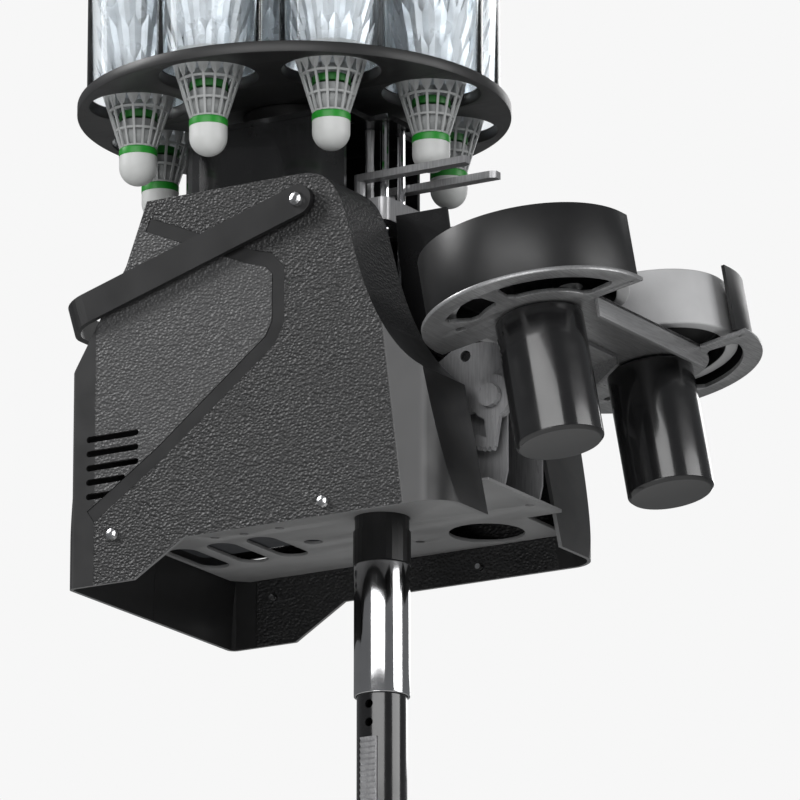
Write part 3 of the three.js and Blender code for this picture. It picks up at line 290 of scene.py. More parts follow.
looks = {
    "textured_sheet": hammered_sheet(),
    "satin_black": smooth_paint("satin_black", (0.010, 0.010, 0.0105), 0.40),
    "gloss_pole": gloss_paint("gloss_pole", (0.008, 0.008, 0.0085), 0.18),
    "bare_metal": brushed_metal("bare_metal", (0.42, 0.42, 0.43), 0.36, (12.0, 12.0, 1.0)),
    "chrome": polished_metal("chrome", (0.74, 0.74, 0.75), 0.1),
    "grey_sheet": gloss_paint("grey_sheet", (0.009, 0.009, 0.0095), 0.24),
    "screw_metal": polished_metal("screw_metal", (0.66, 0.66, 0.67), 0.2),
    "battery_case": moulded_plastic("battery_case", (0.02, 0.022, 0.026), 0.55),
    "motor_case": gloss_paint("motor_case", (0.010, 0.010, 0.0105), 0.2),
    "launcher_metal": brushed_metal("launcher_metal", (0.36, 0.36, 0.365), 0.36, (14.0, 1.0, 14.0)),
    "disc_satin": smooth_paint("disc_satin", (0.02, 0.02, 0.0205), 0.42, grain=0.2),
    "clear_plastic": clear_plastic("clear_plastic", (0.93, 0.96, 0.98)),
    "nylon": moulded_plastic("nylon", (0.42, 0.43, 0.43), 0.42),
    "wheel_grey": moulded_plastic("wheel_grey", (0.55, 0.55, 0.555), 0.45),
}
cork_look = moulded_plastic("cork_cover", (0.66, 0.67, 0.66), 0.45, grain=0.25)
band_look = moulded_plastic("cork_band", (0.012, 0.27, 0.02), 0.4)
nested_look = brushed_metal("nested_skirts", (0.62, 0.645, 0.67), 0.3, (1.0, 1.0, 1.0), metallic=0.35)
# Painted shade: the nested shuttles' cork and band are darker copies of the cork and band colours, for the
# shade inside the skirts
shaded_inner_cork_look = moulded_plastic("inner_cork", (0.30, 0.31, 0.31), 0.5)
shaded_inner_band_look = moulded_plastic("inner_band", (0.008, 0.15, 0.012), 0.45)
# Painted highlight: a lighter grey for the cover sheet's cut edges, standing in for the bright lines that
# light makes along them
edge_highlight_look = smooth_paint("cut_edge_highlight", (0.16, 0.16, 0.162), 0.35)
inlay_look = smooth_paint("inlay", (0.012, 0.012, 0.0125), 0.38)
deck_look = smooth_paint("deck", (0.21, 0.21, 0.212), 0.42)

node_slots = {part["node"]: part["material_slot"] for part in frame["record"]["subparts"]}
own_looks = {"deck_plate": deck_look, "tilt_worm": looks["satin_black"]}
for name, node in nodes.items():
    node.data.materials.clear()
    node.data.materials.append(own_looks.get(name, looks[node_slots[name]]))


# Mesh tools
xz_turn = Matrix(((1, 0, 0, 0), (0, 0, 1, 0), (0, 1, 0, 0), (0, 0, 0, 1)))
yz_turn = Matrix(((0, 0, 1, 0), (1, 0, 0, 0), (0, 1, 0, 0), (0, 0, 0, 1)))


def new_piece(name, mesh, look, body, slot, *replaced):
    piece = bpy.data.objects.new(name, mesh)
    scene.collection.objects.link(piece)
    if look is not None:
        mesh.materials.append(look)
    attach(piece, body)
    if replaced:
        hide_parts(*replaced)
    return piece


def smooth(mesh, split_deg=35.0):
    mesh.shade_smooth()
    work = bmesh.new()
    work.from_mesh(mesh)
    bmesh.ops.recalc_face_normals(work, faces=work.faces)
    for edge in work.edges:
        edge.smooth = edge.calc_face_angle(0.0) < math.radians(split_deg)
    work.to_mesh(mesh)
    work.free()
    return mesh


def rounded_profile(profile, radius, steps=3):
    """Cuts each corner of a closed (r, z) profile by a small round of that radius."""
    points = [Vector(p) for p in profile]
    rounded = []
    for i, corner in enumerate(points):
        before = points[i - 1] - corner
        after = points[(i + 1) % len(points)] - corner
        reach = min(radius, before.length * 0.45, after.length * 0.45)
        on_axis = corner.x < 1e-6
        if on_axis or reach < 1e-5 or before.angle(after) > math.radians(170):
            rounded.append(tuple(corner))
            continue
        start = corner + before.normalized() * reach
        end = corner + after.normalized() * reach
        for step in range(steps + 1):
            t = step / steps
            rounded.append(tuple(start * (1 - t) ** 2 + corner * 2 * t * (1 - t) + end * t ** 2))
    return rounded


def lathe(name, profile, segments=96, round_edge=0.0006):
    """A closed (r, z) profile turned round Z."""
    ring = rounded_profile(profile, round_edge) if round_edge else profile
    verts, columns = [], []
    for i in range(segments):
        turn = 2 * math.pi * i / segments
        column = []
        for j, (r, z) in enumerate(ring):
            if r < 1e-6 and i > 0:
                column.append(columns[0][j])
                continue
            column.append(len(verts))
            verts.append((r * math.cos(turn), r * math.sin(turn), z))
        columns.append(column)
    faces = []
    for i, column in enumerate(columns):
        following = columns[(i + 1) % segments]
        for j in range(len(ring)):
            k = (j + 1) % len(ring)
            face = list(dict.fromkeys((column[j], following[j], following[k], column[k])))
            if len(face) > 2:
                faces.append(face)
    mesh = bpy.data.meshes.new(name)
    mesh.from_pydata(verts, [], faces)
    return smooth(mesh)


def on_circle(radius, turn_deg, centre=(0.0, 0.0)):
    turn = math.radians(turn_deg)
    return (centre[0] + radius * math.cos(turn), centre[1] + radius * math.sin(turn))


def arc(centre, radius, start_deg, end_deg, steps):
    turn = (end_deg - start_deg) / steps
    return [on_circle(radius, start_deg + turn * i, centre) for i in range(steps + 1)]


def circle(centre, radius, steps=32):
    return arc(centre, radius, 0.0, 360.0 * (steps - 1) / steps, steps - 1)


def sheet_cut(name, outline, holes, low, high, edge=0.0003):
    """A flat sheet from low to high along Z with cut-outs and slightly rounded edges."""
    curve = bpy.data.curves.new(name, "CURVE")
    curve.dimensions = "2D"
    curve.fill_mode = "BOTH"
    curve.extrude = (high - low) / 2 - edge
    curve.bevel_depth = edge
    curve.bevel_resolution = 1
    curve.offset = -edge
    for loop in [outline, *holes]:
        spline = curve.splines.new("POLY")
        spline.points.add(len(loop) - 1)
        spline.use_cyclic_u = True
        for point, (x, y) in zip(spline.points, loop):
            point.co = (x, y, 0.0, 1.0)
    holder = bpy.data.objects.new(name, curve)
    mesh = bpy.data.meshes.new_from_object(holder)
    bpy.data.objects.remove(holder)
    bpy.data.curves.remove(curve)
    mesh.transform(Matrix.Translation((0.0, 0.0, (low + high) / 2)))
    work = bmesh.new()
    work.from_mesh(mesh)
    bmesh.ops.remove_doubles(work, verts=work.verts, dist=1e-6)
    work.to_mesh(mesh)
    work.free()
    mesh.name = name
    return smooth(mesh, 40.0)


def merged(name, meshes):
    work = bmesh.new()
    for mesh in meshes:
        work.from_mesh(mesh)
    mesh = bpy.data.meshes.new(name)
    work.to_mesh(mesh)
    work.free()
    return smooth(mesh)


def prism(outline, low, high, turn=None):
    """A closed outline pushed through from low to high, along Z unless turned."""
    count = len(outline)
    verts = [(x, y, low) for x, y in outline] + [(x, y, high) for x, y in outline]
    faces = [tuple(range(count - 1, -1, -1)), tuple(range(count, 2 * count))]
    faces += [(i, (i + 1) % count, (i + 1) % count + count, i + count) for i in range(count)]
    mesh = bpy.data.meshes.new("prism")
    mesh.from_pydata(verts, [], faces)
    if turn is not None:
        mesh.transform(turn)
    return smooth(mesh)


def bezier(start, first, second, end, steps=14):
    points = []
    for i in range(steps + 1):
        t = i / steps
        weights = ((1 - t) ** 3, 3 * t * (1 - t) ** 2, 3 * t * t * (1 - t), t ** 3)
        points.append(tuple(sum(w * p[axis] for w, p in zip(weights, (start, first, second, end)))
                            for axis in (0, 1)))
    return points


def ribbon(line, half, extra=0.0):
    """The outline of a band of constant width along a line, with mitred corners."""
    points = [Vector(p) for p in line]
    left, right = [], []
    for i, here in enumerate(points):
        ways = [(points[j + 1] - points[j]).normalized() for j in (i - 1, i) if 0 <= j < len(points) - 1]
        way = sum(ways, Vector((0.0, 0.0))).normalized()
        across = Vector((-way.y, way.x))
        reach = half / max(0.3, across.dot(Vector((-ways[0].y, ways[0].x))))
        end = way * (extra if i == len(points) - 1 else -extra if i == 0 else 0.0)
        left.append(tuple(here + across * reach + end))
        right.append(tuple(here - across * reach + end))
    return left + right[::-1]


def boxed(name, low, high):
    """A closed block, used only as a cutter or inside a larger piece."""
    work = bmesh.new()
    bmesh.ops.create_cube(work, size=1.0)
    size = Vector(high) - Vector(low)
    bmesh.ops.scale(work, vec=size, verts=work.verts)
    bmesh.ops.translate(work, vec=(Vector(high) + Vector(low)) / 2, verts=work.verts)
    mesh = bpy.data.meshes.new(name)
    work.to_mesh(mesh)
    work.free()
    return mesh


def combined(name, base, steps, crossing=False):
    """The base mesh after a row of exact boolean steps; crossing allows a cutter of several loose parts."""
    made = bpy.data.objects.new(name, base)
    scene.collection.objects.link(made)
    helpers = []
    for operation, mesh in steps:
        helper = bpy.data.objects.new("helper", mesh)
        scene.collection.objects.link(helper)
        helpers.append(helper)
        step = made.modifiers.new("step", "BOOLEAN")
        step.operation = operation
        step.solver = "EXACT"
        step.use_self = crossing
        step.object = helper
    result = bpy.data.meshes.new_from_object(made.evaluated_get(bpy.context.evaluated_depsgraph_get()))
    result.name = name
    for item in [made, *helpers]:
        bpy.data.objects.remove(item)
    return result


def carved(name, mesh, cutters):
    """The mesh less its cutters."""
    return smooth(combined(name, mesh, [("DIFFERENCE", merged("cutter", cutters))], crossing=True))


# Shuttles: a cork with its band, a skirt of ribs, and the skirts nested above it
cork_r = 0.013
cork_straight = 0.0072
band_height = 0.0055
skirt_start_r = 0.0124
skirt_mouth_r = 0.0322
skirt_height = 0.064
shuttle_tip_z = 0.5082
stack_pitch = 0.025
stack_count = 6
rib_count = 16
rib_half = 0.0008
rib_proud = 0.0003
skirt_wall = 0.0011
ring_height = 0.0014
foot_ring_height = 0.0012
band_proud = 0.0002
band_slope = 0.0008
band_bottom_z = shuttle_tip_z + cork_r + cork_straight
skirt_bottom_z = band_bottom_z + band_height
ring_rises = (0.0115, 0.0255)
vane_rise = 0.0275
vane_top_rise = 0.046
vane_fold = 0.0009
vane_inset = 0.0004
petal_count = 20
petal_shoulder = 0.009
petal_inset = 0.0016
petal_foot_fold = 0.0012
petal_shoulder_fold = 0.0013
petal_tip_fold = 0.0002
petal_overlap = 0.001
petal_lean = 0.0009
inner_cork_low = 0.004
inner_cork_shoulder = 0.012
inner_cork_edge = 0.001
inner_band_lift = 0.0262


def skirt_radius(rise):
    return skirt_start_r + (skirt_mouth_r - skirt_start_r) * rise / skirt_height


def cork_mesh():
    dome = [(cork_r * math.sin(t), shuttle_tip_z + cork_r * (1 - math.cos(t)))
            for t in [math.pi / 2 * i / 14 for i in range(15)]]
    dome[0] = (0.0, shuttle_tip_z)
    profile = dome + [(cork_r, band_bottom_z), (0.0, band_bottom_z)]
    return lathe("cork", profile, 40, 0.0)


def band_mesh():
    low = band_bottom_z
    high = skirt_bottom_z
    band_r = cork_r + band_proud
    profile = [(0.0, low), (band_r, low), (band_r, high - band_slope), (skirt_start_r, high), (0.0, high)]
    return lathe("band", profile, 40, band_proud)


def skirt_ring(rise, height):
    """A thin ring of the skirt at a rise over the skirt's start."""
    low_r, high_r = skirt_radius(rise), skirt_radius(rise + height)
    low_z = skirt_bottom_z + rise
    high_z = low_z + height
    profile = [(low_r - skirt_wall, low_z), (low_r, low_z), (high_r, high_z), (high_r - skirt_wall, high_z)]
    return lathe("ring", profile, 64, 0.0)


def ribs_mesh():
    """Straight ribs up the cone, each a bar that widens a little."""
    verts, faces = [], []
    for i in range(rib_count):
        turn = 2 * math.pi * i / rib_count
        out = Vector((math.cos(turn), math.sin(turn), 0.0))
        side = Vector((-math.sin(turn), math.cos(turn), 0.0))
        start = len(verts)
        for rise, width in ((0.0, rib_half), (vane_top_rise, rib_half * 1.1)):
            centre = Vector((0.0, 0.0, skirt_bottom_z + rise))
            for depth, across in ((rib_proud, -1), (rib_proud, 1), (-skirt_wall, 1), (-skirt_wall, -1)):
                verts.append(tuple(centre + out * (skirt_radius(rise) + depth) + side * width * across))
        for face in ((0, 1, 2, 3), (7, 6, 5, 4), (0, 4, 5, 1), (1, 5, 6, 2), (2, 6, 7, 3), (3, 7, 4, 0)):
            faces.append(tuple(start + corner for corner in face))
    mesh = bpy.data.meshes.new("ribs")
    mesh.from_pydata(verts, [], faces)
    return mesh


def vanes_mesh():
    """Leaf shaped vanes, one on each rib, that close up towards the skirt's mouth."""
    rows = 14
    verts, faces = [], []
    for i in range(rib_count):
        start = len(verts)
        for row in range(rows + 1):
            share = row / rows
            rise = vane_rise + (vane_top_rise - vane_rise) * share
            reach = math.pi / rib_count * min(1.0, 0.15 + 1.25 * math.sqrt(share))
            for across in (-1, 0, 1):
                turn = 2 * math.pi * i / rib_count + across * reach
                r = skirt_radius(rise) - vane_inset + (0.0 if across else vane_fold)
                verts.append((r * math.cos(turn), r * math.sin(turn), skirt_bottom_z + rise))
        for row in range(rows):
            for column in (0, 1):
                corner = start + row * 3 + column
                faces.append((corner, corner + 1, corner + 4, corner + 3))
    mesh = bpy.data.meshes.new("vanes")
    mesh.from_pydata(verts, [], faces)
    return mesh


def skirt_mesh():
    rings = [skirt_ring(rise, ring_height) for rise in ring_rises]
    rings.append(skirt_ring(0.0, foot_ring_height))
    return merged("skirt", [*rings, ribs_mesh(), vanes_mesh()])


def nested_skirt(index):
    """The part of a nested skirt that shows: pointed petals, each folded along its middle."""
    lift = skirt_bottom_z + index * stack_pitch
    low, shoulder = skirt_height - stack_pitch * 1.3, skirt_height - petal_shoulder
    if index == 0:
        low = vane_top_rise - petal_overlap
    verts, faces = [], []
    for i in range(petal_count):
        start = len(verts)
        middle = 2 * math.pi * (i + 0.5 * (index % 2)) / petal_count
        half = math.pi / petal_count
        lean = petal_lean * math.sin(12.9 * i + 4.1 * index)
        for rise, across, depth in ((low, -1, 0.0), (low, 0, petal_foot_fold), (low, 1, 0.0),
                                    (shoulder, -1, lean), (shoulder, 0, petal_shoulder_fold),
                                    (shoulder, 1, -lean), (skirt_height, 0, petal_tip_fold)):
            r = skirt_radius(rise) - petal_inset + depth
            turn = middle + across * half
            verts.append((r * math.cos(turn), r * math.sin(turn), lift + rise))
        for face in ((0, 1, 4, 3), (1, 2, 5, 4), (3, 4, 6), (4, 5, 6)):
            faces.append(tuple(start + corner for corner in face))
    mesh = bpy.data.meshes.new("nested")
    mesh.from_pydata(verts, [], faces)
    return mesh


def build_shuttles():
    cork, band = cork_mesh(), band_mesh()
    lowest = skirt_mesh()
    core_low, core_top = band_bottom_z + inner_cork_low, band_bottom_z + stack_pitch
    nested_core = lathe("nested_cork", [(0.0, core_low), (cork_r * 0.7, core_low),
                                        (cork_r, band_bottom_z + inner_cork_shoulder), (cork_r, core_top),
                                        (0.0, core_top)], 32, inner_cork_edge)
    skirts = merged("nested_skirts", [nested_skirt(i) for i in range(stack_count + 1)])
    inner_band = band_mesh()
    inner_band.transform(Matrix.Translation((0.0, 0.0, inner_band_lift)))
    # The nested cork and band carry the painted shade colours
    parts = [(cork, cork_look), (band, band_look), (lowest, looks["nylon"]), (nested_core, shaded_inner_cork_look),
             (skirts, nested_look), (inner_band, shaded_inner_band_look)]
    whole = bmesh.new()
    mesh = bpy.data.meshes.new("shuttle_stack")
    for index, (piece, look) in enumerate(parts):
        first = len(whole.faces)
        whole.from_mesh(piece)
        whole.faces.ensure_lookup_table()
        for face in whole.faces[first:]:
            face.material_index = index
        mesh.materials.append(look)
    whole.to_mesh(mesh)
    whole.free()
    for i in range(tube_count):
        placed = mesh.copy()
        placed.transform(Matrix.Translation(tube_place(i)))
        new_piece(f"shuttles_{i + 1}", placed, None, "magazine", "nylon", f"shuttle_stack_{i + 1}")


# Tubes and the ring that joins them near the top
tube_r = 0.0356
tube_wall = 0.0018
tube_bottom_z = 0.5726
tube_top_z = 0.8726
top_ring_r = 0.147
top_ring_bore = 0.052
tube_edge = 0.0003


def build_tubes():
    bore = tube_r - tube_wall
    profile = [(bore, tube_bottom_z), (tube_r, tube_bottom_z), (tube_r, tube_top_z), (bore, tube_top_z)]
    mesh = lathe("tube", profile, 72, tube_edge)
    for i in range(tube_count):
        placed = mesh.copy()
        placed.transform(Matrix.Translation(tube_place(i)))
        new_piece(f"clear_tube_{i + 1}", placed, looks["clear_plastic"], "magazine", "clear_plastic",
                  f"tube_{i + 1}")
    low, high = (corner[2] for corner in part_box("magazine_top_ring"))
    middle = (magazine_x, 0.0)
    holes = [circle(tube_place(i).xy, tube_r + seat_gap, 48) for i in range(tube_count)]
    ring = sheet_cut("top_ring", circle(middle, top_ring_r, 96), [circle(middle, top_ring_bore, 64), *holes],
                     low, high)
    new_piece("top_ring", ring, looks["clear_plastic"], "magazine", "clear_plastic", "magazine_top_ring")


# Magazine disc with its hub
disc_r = 0.150
disc_low_z = 0.5643
disc_high_z = 0.5723
hub_r = 0.036
hub_low_z = 0.5506
hub_high_z = 0.5642
shaft_bore_r = 0.0044
disc_edge = 0.0007
hub_edge = 0.0008


def build_disc():
    middle = (magazine_x, 0.0)
    holes = [circle(tube_place(i).xy, tube_r - tube_wall, 48) for i in range(tube_count)]
    disc = sheet_cut("disc", circle(middle, disc_r, 128), [circle(middle, shaft_bore_r, 24), *holes],
                     disc_low_z, disc_high_z, disc_edge)
    hub = lathe("hub", [(shaft_bore_r, hub_low_z), (hub_r, hub_low_z), (hub_r, hub_high_z),
                        (shaft_bore_r, hub_high_z)], 64, hub_edge)
    hub.transform(Matrix.Translation((magazine_x, 0.0, 0.0)))
    new_piece("disc", merged("disc", [disc, hub]), looks["disc_satin"], "magazine", "disc_satin",
              "magazine_disc")


# Mast: the black pole with its two holes and ribbed strip, and the bright sleeve
pole_r = 0.017
pole_bore = 0.014
pole_low_z = 0.0063
pole_high_z = 0.200
pole_edge = 0.0004
pole_hole_r = 0.003
pole_hole_reach = 0.004
pole_hole_inset = 0.001
pole_hole_zs = (0.138, 0.1254)
strip_half = 0.0063
strip_seat_y = -0.015
strip_seat_overrun = 0.003
strip_rib_count = 26
strip_rib_steps = 6
strip_rib_depth = 0.0013
strip_edge = 0.0002
sleeve_bore = 0.0173
sleeve_r = 0.019


def build_mast():
    pole = lathe("pole", [(pole_bore, pole_low_z), (pole_r, pole_low_z), (pole_r, pole_high_z),
                          (pole_bore, pole_high_z)], 96, pole_edge)
    holes = []
    for z in pole_hole_zs:
        hole = lathe("hole", [(0.0, -pole_hole_reach), (pole_hole_r, -pole_hole_reach),
                              (pole_hole_r, pole_hole_reach), (0.0, pole_hole_reach)], 32, 0.0)
        place = Matrix.Translation((0.0, -pole_r + pole_hole_inset, z))
        hole.transform(place @ Matrix.Rotation(math.pi / 2, 4, "X"))
        holes.append(hole)
    strip_low, strip_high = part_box("rack_strip")
    seat = boxed("seat", (-strip_half, -pole_r - strip_seat_overrun, strip_low[2] - seat_gap),
                 (strip_half, strip_seat_y, strip_high[2] + seat_gap))
    new_piece("pole", carved("pole", pole, [*holes, seat]), looks["gloss_pole"], "stand_pole", "gloss_pole",
              "lower_pole")
    new_piece("strip", toothed_strip(strip_low, strip_high), looks["bare_metal"], "stand_pole", "bare_metal",
              "rack_strip")
    low, high = (corner[2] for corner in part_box("mast_sleeve"))
    sleeve = lathe("sleeve", [(sleeve_bore, low), (sleeve_r, low), (sleeve_r, high), (sleeve_bore, high)], 96)
    new_piece("sleeve", sleeve, looks["chrome"], "mast", "chrome", "mast_sleeve")


def toothed_strip(low, high):
    """The ribbed strip in the pole's face: a wavy front on a flat back."""
    step = (high[2] - low[2]) / strip_rib_count / strip_rib_steps
    front = []
    for i in range(strip_rib_count * strip_rib_steps + 1):
        wave = 0.5 - 0.5 * math.cos(2 * math.pi * i / strip_rib_steps)
        front.append((low[1] + strip_rib_depth * wave, low[2] + i * step))
    outline = [*front, (high[1], high[2]), (high[1], low[2])]
    mesh = sheet_cut("strip", outline, [], low[0], high[0], strip_edge)
    mesh.transform(yz_turn)
    return mesh


# Deck plate: its front tongue, the mast's hole, a large front hole, three slots and small holes
deck_corner = 0.010
deck_edge = 0.0004
deck_inner_front_x = 0.085
deck_tongue_half = 0.0487
deck_mast_hole_r = 0.0188
deck_front_hole_r = 0.026
deck_front_hole_x = 0.041
deck_slot_r = 0.011
deck_slot_length = 0.060
deck_slot_x = -0.165
deck_slot_pitch = 0.032
deck_slot_y = 0.028
deck_small_hole_r = 0.0032
deck_small_places_shares = [(-1.11, -0.15), (-0.91, -0.13), (-0.65, -0.14), (0.92, 0.21), (-0.09, 0.66)]
deck_wider_place_share = (-0.65, 0.29)


def long_slot(centre, radius, length):
    """A slot with round ends that runs along Y."""
    x, y = centre
    reach = length / 2 - radius
    return [*arc((x, y + reach), radius, 0, 180, 20), *arc((x, y - reach), radius, 180, 360, 20)]


def build_deck():
    low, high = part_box("deck_plate")
    back, front, side = low[0], high[0], high[1]
    inner, tongue, corner = deck_inner_front_x, deck_tongue_half, deck_corner
    outline = [(back + corner, -side), (inner, -side), (inner, -tongue), (front, -tongue), (front, tongue),
               (inner, tongue), (inner, side), (back + corner, side), (back, side - corner),
               (back, -side + corner)]
    front_hole = circle((deck_front_hole_x, side - 1.2 * deck_front_hole_r), deck_front_hole_r, 96)
    slots = [long_slot((deck_slot_x + deck_slot_pitch * i, deck_slot_y), deck_slot_r, deck_slot_length)
             for i in range(3)]
    small = [circle((along * front, across * side), deck_small_hole_r)
             for along, across in deck_small_places_shares]
    wider = circle((deck_wider_place_share[0] * front, deck_wider_place_share[1] * side),
                   2 * deck_small_hole_r, 40)
    mast_hole = circle((0.0, 0.0), deck_mast_hole_r, 64)
    holes = [mast_hole, front_hole, *slots, *small, wider]
    deck = sheet_cut("deck", outline, holes, low[2], high[2], deck_edge)
    new_piece("deck", deck, deck_look, "head", node_slots["deck_plate"], "deck_plate")


# Launcher head, in axes that start at its pivot
plate_low = 0.0247
plate_high = 0.0277
plate_thickness = plate_high - plate_low
plate_ring_r = 0.078
plate_edge = 0.0005
bridge_half = 0.043
bridge_reach = 0.070
flange_height = 0.016
window_inner_r = 0.041
window_outer_r = 0.0645
window_degs = [(7.0, 86.0), (98.0, 138.0)]
plate_hole_ring_r = 0.052
plate_hole_deg = 152.0
plate_hole_r = 0.0035
plate_pin_ring_r = 0.0715
plate_pin_r = 0.0012
motor_r = 0.0295
motor_foot_r = 0.0272
motor_shoulder_r = 0.027
motor_height = 0.091
motor_foot_height = 0.0023
motor_shoulder_height = 0.0025
motor_boss_r = 0.012
motor_shaft_r = 0.004
motor_shaft_top = 0.0633
wheel_bottom = 0.0323
wheel_top = 0.0723
wheel_web_low = 0.0498
wheel_web_high = 0.0548
wheel_r = 0.0625
wheel_inner_r = 0.0535
wheel_hub_r = 0.013
wheel_edge = 0.0014
wheel_rim_margin = 0.0002
wheel_hole_count = 5
wheel_hole_r = 0.009
wheel_hole_overrun = 0.005
guard_r = 0.073
guard_wall = 0.0025
guard_lip = 0.008
guard_low = 0.028
guard_height = 0.047
guard_edge = 0.0004


def place_on_launcher(mesh):
    mesh.transform(to_launcher)
    return mesh


def build_launcher():
    for side, label in ((-1, "near"), (1, "far")):
        axis = Matrix.Translation((wheel_axis_x, side * wheel_axis_y, 0.0))
        build_motor(label, axis)
        build_wheel(label, axis)
        build_guard(side, label, axis)
    build_launcher_plate()


def build_motor(label, axis):
    top = plate_low - seat_gap
    bottom = top - motor_height
    profile = [(0.0, bottom), (motor_foot_r, bottom), (motor_r, bottom + motor_foot_height),
               (motor_r, top - motor_shoulder_height), (motor_shoulder_r, top), (motor_boss_r, top),
               (motor_boss_r, plate_high), (motor_shaft_r, plate_high), (motor_shaft_r, motor_shaft_top),
               (0.0, motor_shaft_top)]
    motor = lathe("motor", profile)
    motor.transform(axis)
    new_piece(f"launch_motor_{label}_round", place_on_launcher(motor), looks["motor_case"], "launcher",
              "motor_case", f"launch_motor_{label}")


def build_wheel(label, axis):
    profile = [(shaft_bore_r, wheel_bottom), (wheel_hub_r, wheel_bottom), (wheel_hub_r, wheel_web_low),
               (wheel_inner_r, wheel_web_low), (wheel_inner_r, wheel_bottom), (wheel_r, wheel_bottom),
               (wheel_r, wheel_top), (wheel_inner_r, wheel_top), (wheel_inner_r, wheel_web_high),
               (wheel_hub_r, wheel_web_high), (wheel_hub_r, wheel_top), (shaft_bore_r, wheel_top)]
    low, high = wheel_web_low - wheel_hole_overrun, wheel_web_high + wheel_hole_overrun
    holes = []
    for i in range(wheel_hole_count):
        hole = lathe("hole", [(0.0, low), (wheel_hole_r, low), (wheel_hole_r, high), (0.0, high)], 40, 0.0)
        x, y = on_circle((wheel_inner_r + wheel_hub_r) / 2, i * 360.0 / wheel_hole_count)
        hole.transform(Matrix.Translation((x, y, 0.0)))
        holes.append(hole)
    wheel = carved("wheel", lathe("wheel", profile, 128, wheel_edge), holes)
    wheel.materials.append(looks["wheel_grey"])
    wheel.materials.append(looks["satin_black"])
    for face in wheel.polygons:
        face.material_index = 1 if face.center.xy.length < wheel_inner_r + wheel_rim_margin else 0
    wheel.transform(axis)
    new_piece(f"wheel_{label}_round", place_on_launcher(wheel), None, f"wheel_{label}", "wheel_grey",
              f"wheel_{label}")


def build_guard(side, label, axis):
    inner = guard_r - guard_wall
    outline = [*arc((0, 0), guard_r, 0.0, 180.0, 72), (-guard_r, -guard_lip), (-inner, -guard_lip),
               *arc((0, 0), inner, 180.0, 0.0, 72), (inner, -guard_lip), (guard_r, -guard_lip)]
    guard = sheet_cut("guard", outline, [], guard_low, guard_low + guard_height, guard_edge)
    guard.transform(axis @ Matrix.Rotation(0.0 if side > 0 else math.pi, 4, "Z"))
    new_piece(f"guard_{label}_round", place_on_launcher(guard), looks["satin_black"], "launcher",
              "satin_black", f"guard_{label}")


def soft_window(centre, start_deg, end_deg, corner=0.004, steps=20):
    """A curved window in the plate between two radii, with its corners cut off."""
    rings = []
    way = math.copysign(1.0, end_deg - start_deg)
    for radius, first, last, sign in ((window_outer_r, start_deg, end_deg, way),
                                      (window_inner_r, end_deg, start_deg, -way)):
        cut = math.degrees(corner / radius) * sign
        rings.append(arc(centre, radius, first + cut, last - cut, steps))
    low, high = window_inner_r + corner, window_outer_r - corner
    return [*rings[0], on_circle(high, end_deg, centre), on_circle(low, end_deg, centre),
            *rings[1], on_circle(low, start_deg, centre), on_circle(high, start_deg, centre)]


def build_launcher_plate():
    """Two half rings joined by a bridge, with curved windows round each motor, and the bent front edge."""
    right, left = wheel_axis_x + bridge_half, wheel_axis_x - bridge_half
    far = arc((wheel_axis_x, wheel_axis_y), plate_ring_r, 0.0, 180.0, 72)
    near = arc((wheel_axis_x, -wheel_axis_y), plate_ring_r, 180.0, 360.0, 72)
    ring_right, ring_left = wheel_axis_x + plate_ring_r, wheel_axis_x - plate_ring_r
    outline = [*far, (ring_left, bridge_reach), (left, bridge_reach), (left, -bridge_reach),
               (ring_left, -bridge_reach), *near, (ring_right, -bridge_reach), (right, -bridge_reach),
               (right, bridge_reach), (ring_right, bridge_reach)]
    holes = []
    for side in (-1, 1):
        centre = (wheel_axis_x, side * wheel_axis_y)
        holes += [soft_window(centre, side * start, side * end) for start, end in window_degs]
        holes.append(circle(on_circle(plate_hole_ring_r, side * plate_hole_deg, centre), plate_hole_r, 20))
        holes.append(circle((centre[0] + plate_pin_ring_r, centre[1]), plate_pin_r, 16))
        holes.append(circle(centre, motor_boss_r + seat_gap, 40))
    plate = sheet_cut("plate", outline, holes, plate_low, plate_high, plate_edge)
    low = plate_high - flange_height
    face = [(-bridge_reach, low), (bridge_reach, low), (bridge_reach, plate_high), (-bridge_reach, plate_high)]
    flange = sheet_cut("flange", face, [], right - plate_thickness, right, plate_edge)
    flange.transform(yz_turn)
    new_piece("launcher_sheet", place_on_launcher(merged("plate", [plate, flange])), looks["launcher_metal"],
              "launcher", "launcher_metal", "launcher_plate")


# Housing covers: the folded sheet's side view and plan cut each other, then the inside and the openings go
cover_half = 0.104
cover_wall = 0.0025
cover_middle_gap = 0.00015
cover_back_x = -0.182
cover_front_x = 0.112
cover_front_r = 0.022
cover_rear_r = 0.006
cover_top_z = 0.486
cover_top_front_x = -0.002
cover_top_back_x = -0.124
cover_shoulder_run = 0.096
cover_shoulder_rise = 0.148
cover_back_top_z = 0.373
cover_back_lean = 0.004
cover_back_points = [(cover_back_lean, 0.222), (0.003, 0.255), (0.0, 0.285)]
cover_side_bottom = 0.246
cover_step_front_x = -0.092
cover_step_back_x = -0.132
cover_cut_low_z = 0.18
cover_cut_high_z = 0.5
cover_under_overrun = 0.002
slot_half = 0.049
slot_back_x = -0.022
slot_front_x = 0.2
groove_half = 0.005
groove_depth = 0.001
inlay_clearance = 0.0003
inlay_sink = 0.0001
vent_count = 5
vent_back_x = -0.171
vent_length = 0.042
vent_low_z = 0.282
vent_width = 0.0044
vent_pitch = 0.010
cutter_out = 0.002
cutter_in = 0.006
cutter_span = 0.2
slot_face_margin = 0.0002
under_face_margin = 0.0005

# Each bolt's x, z and hole radius
bolt_places = [(0.0, 0.466, 0.0037), (-0.1492, 0.2555, 0.0023), (0.0174, 0.2555, 0.0023)]


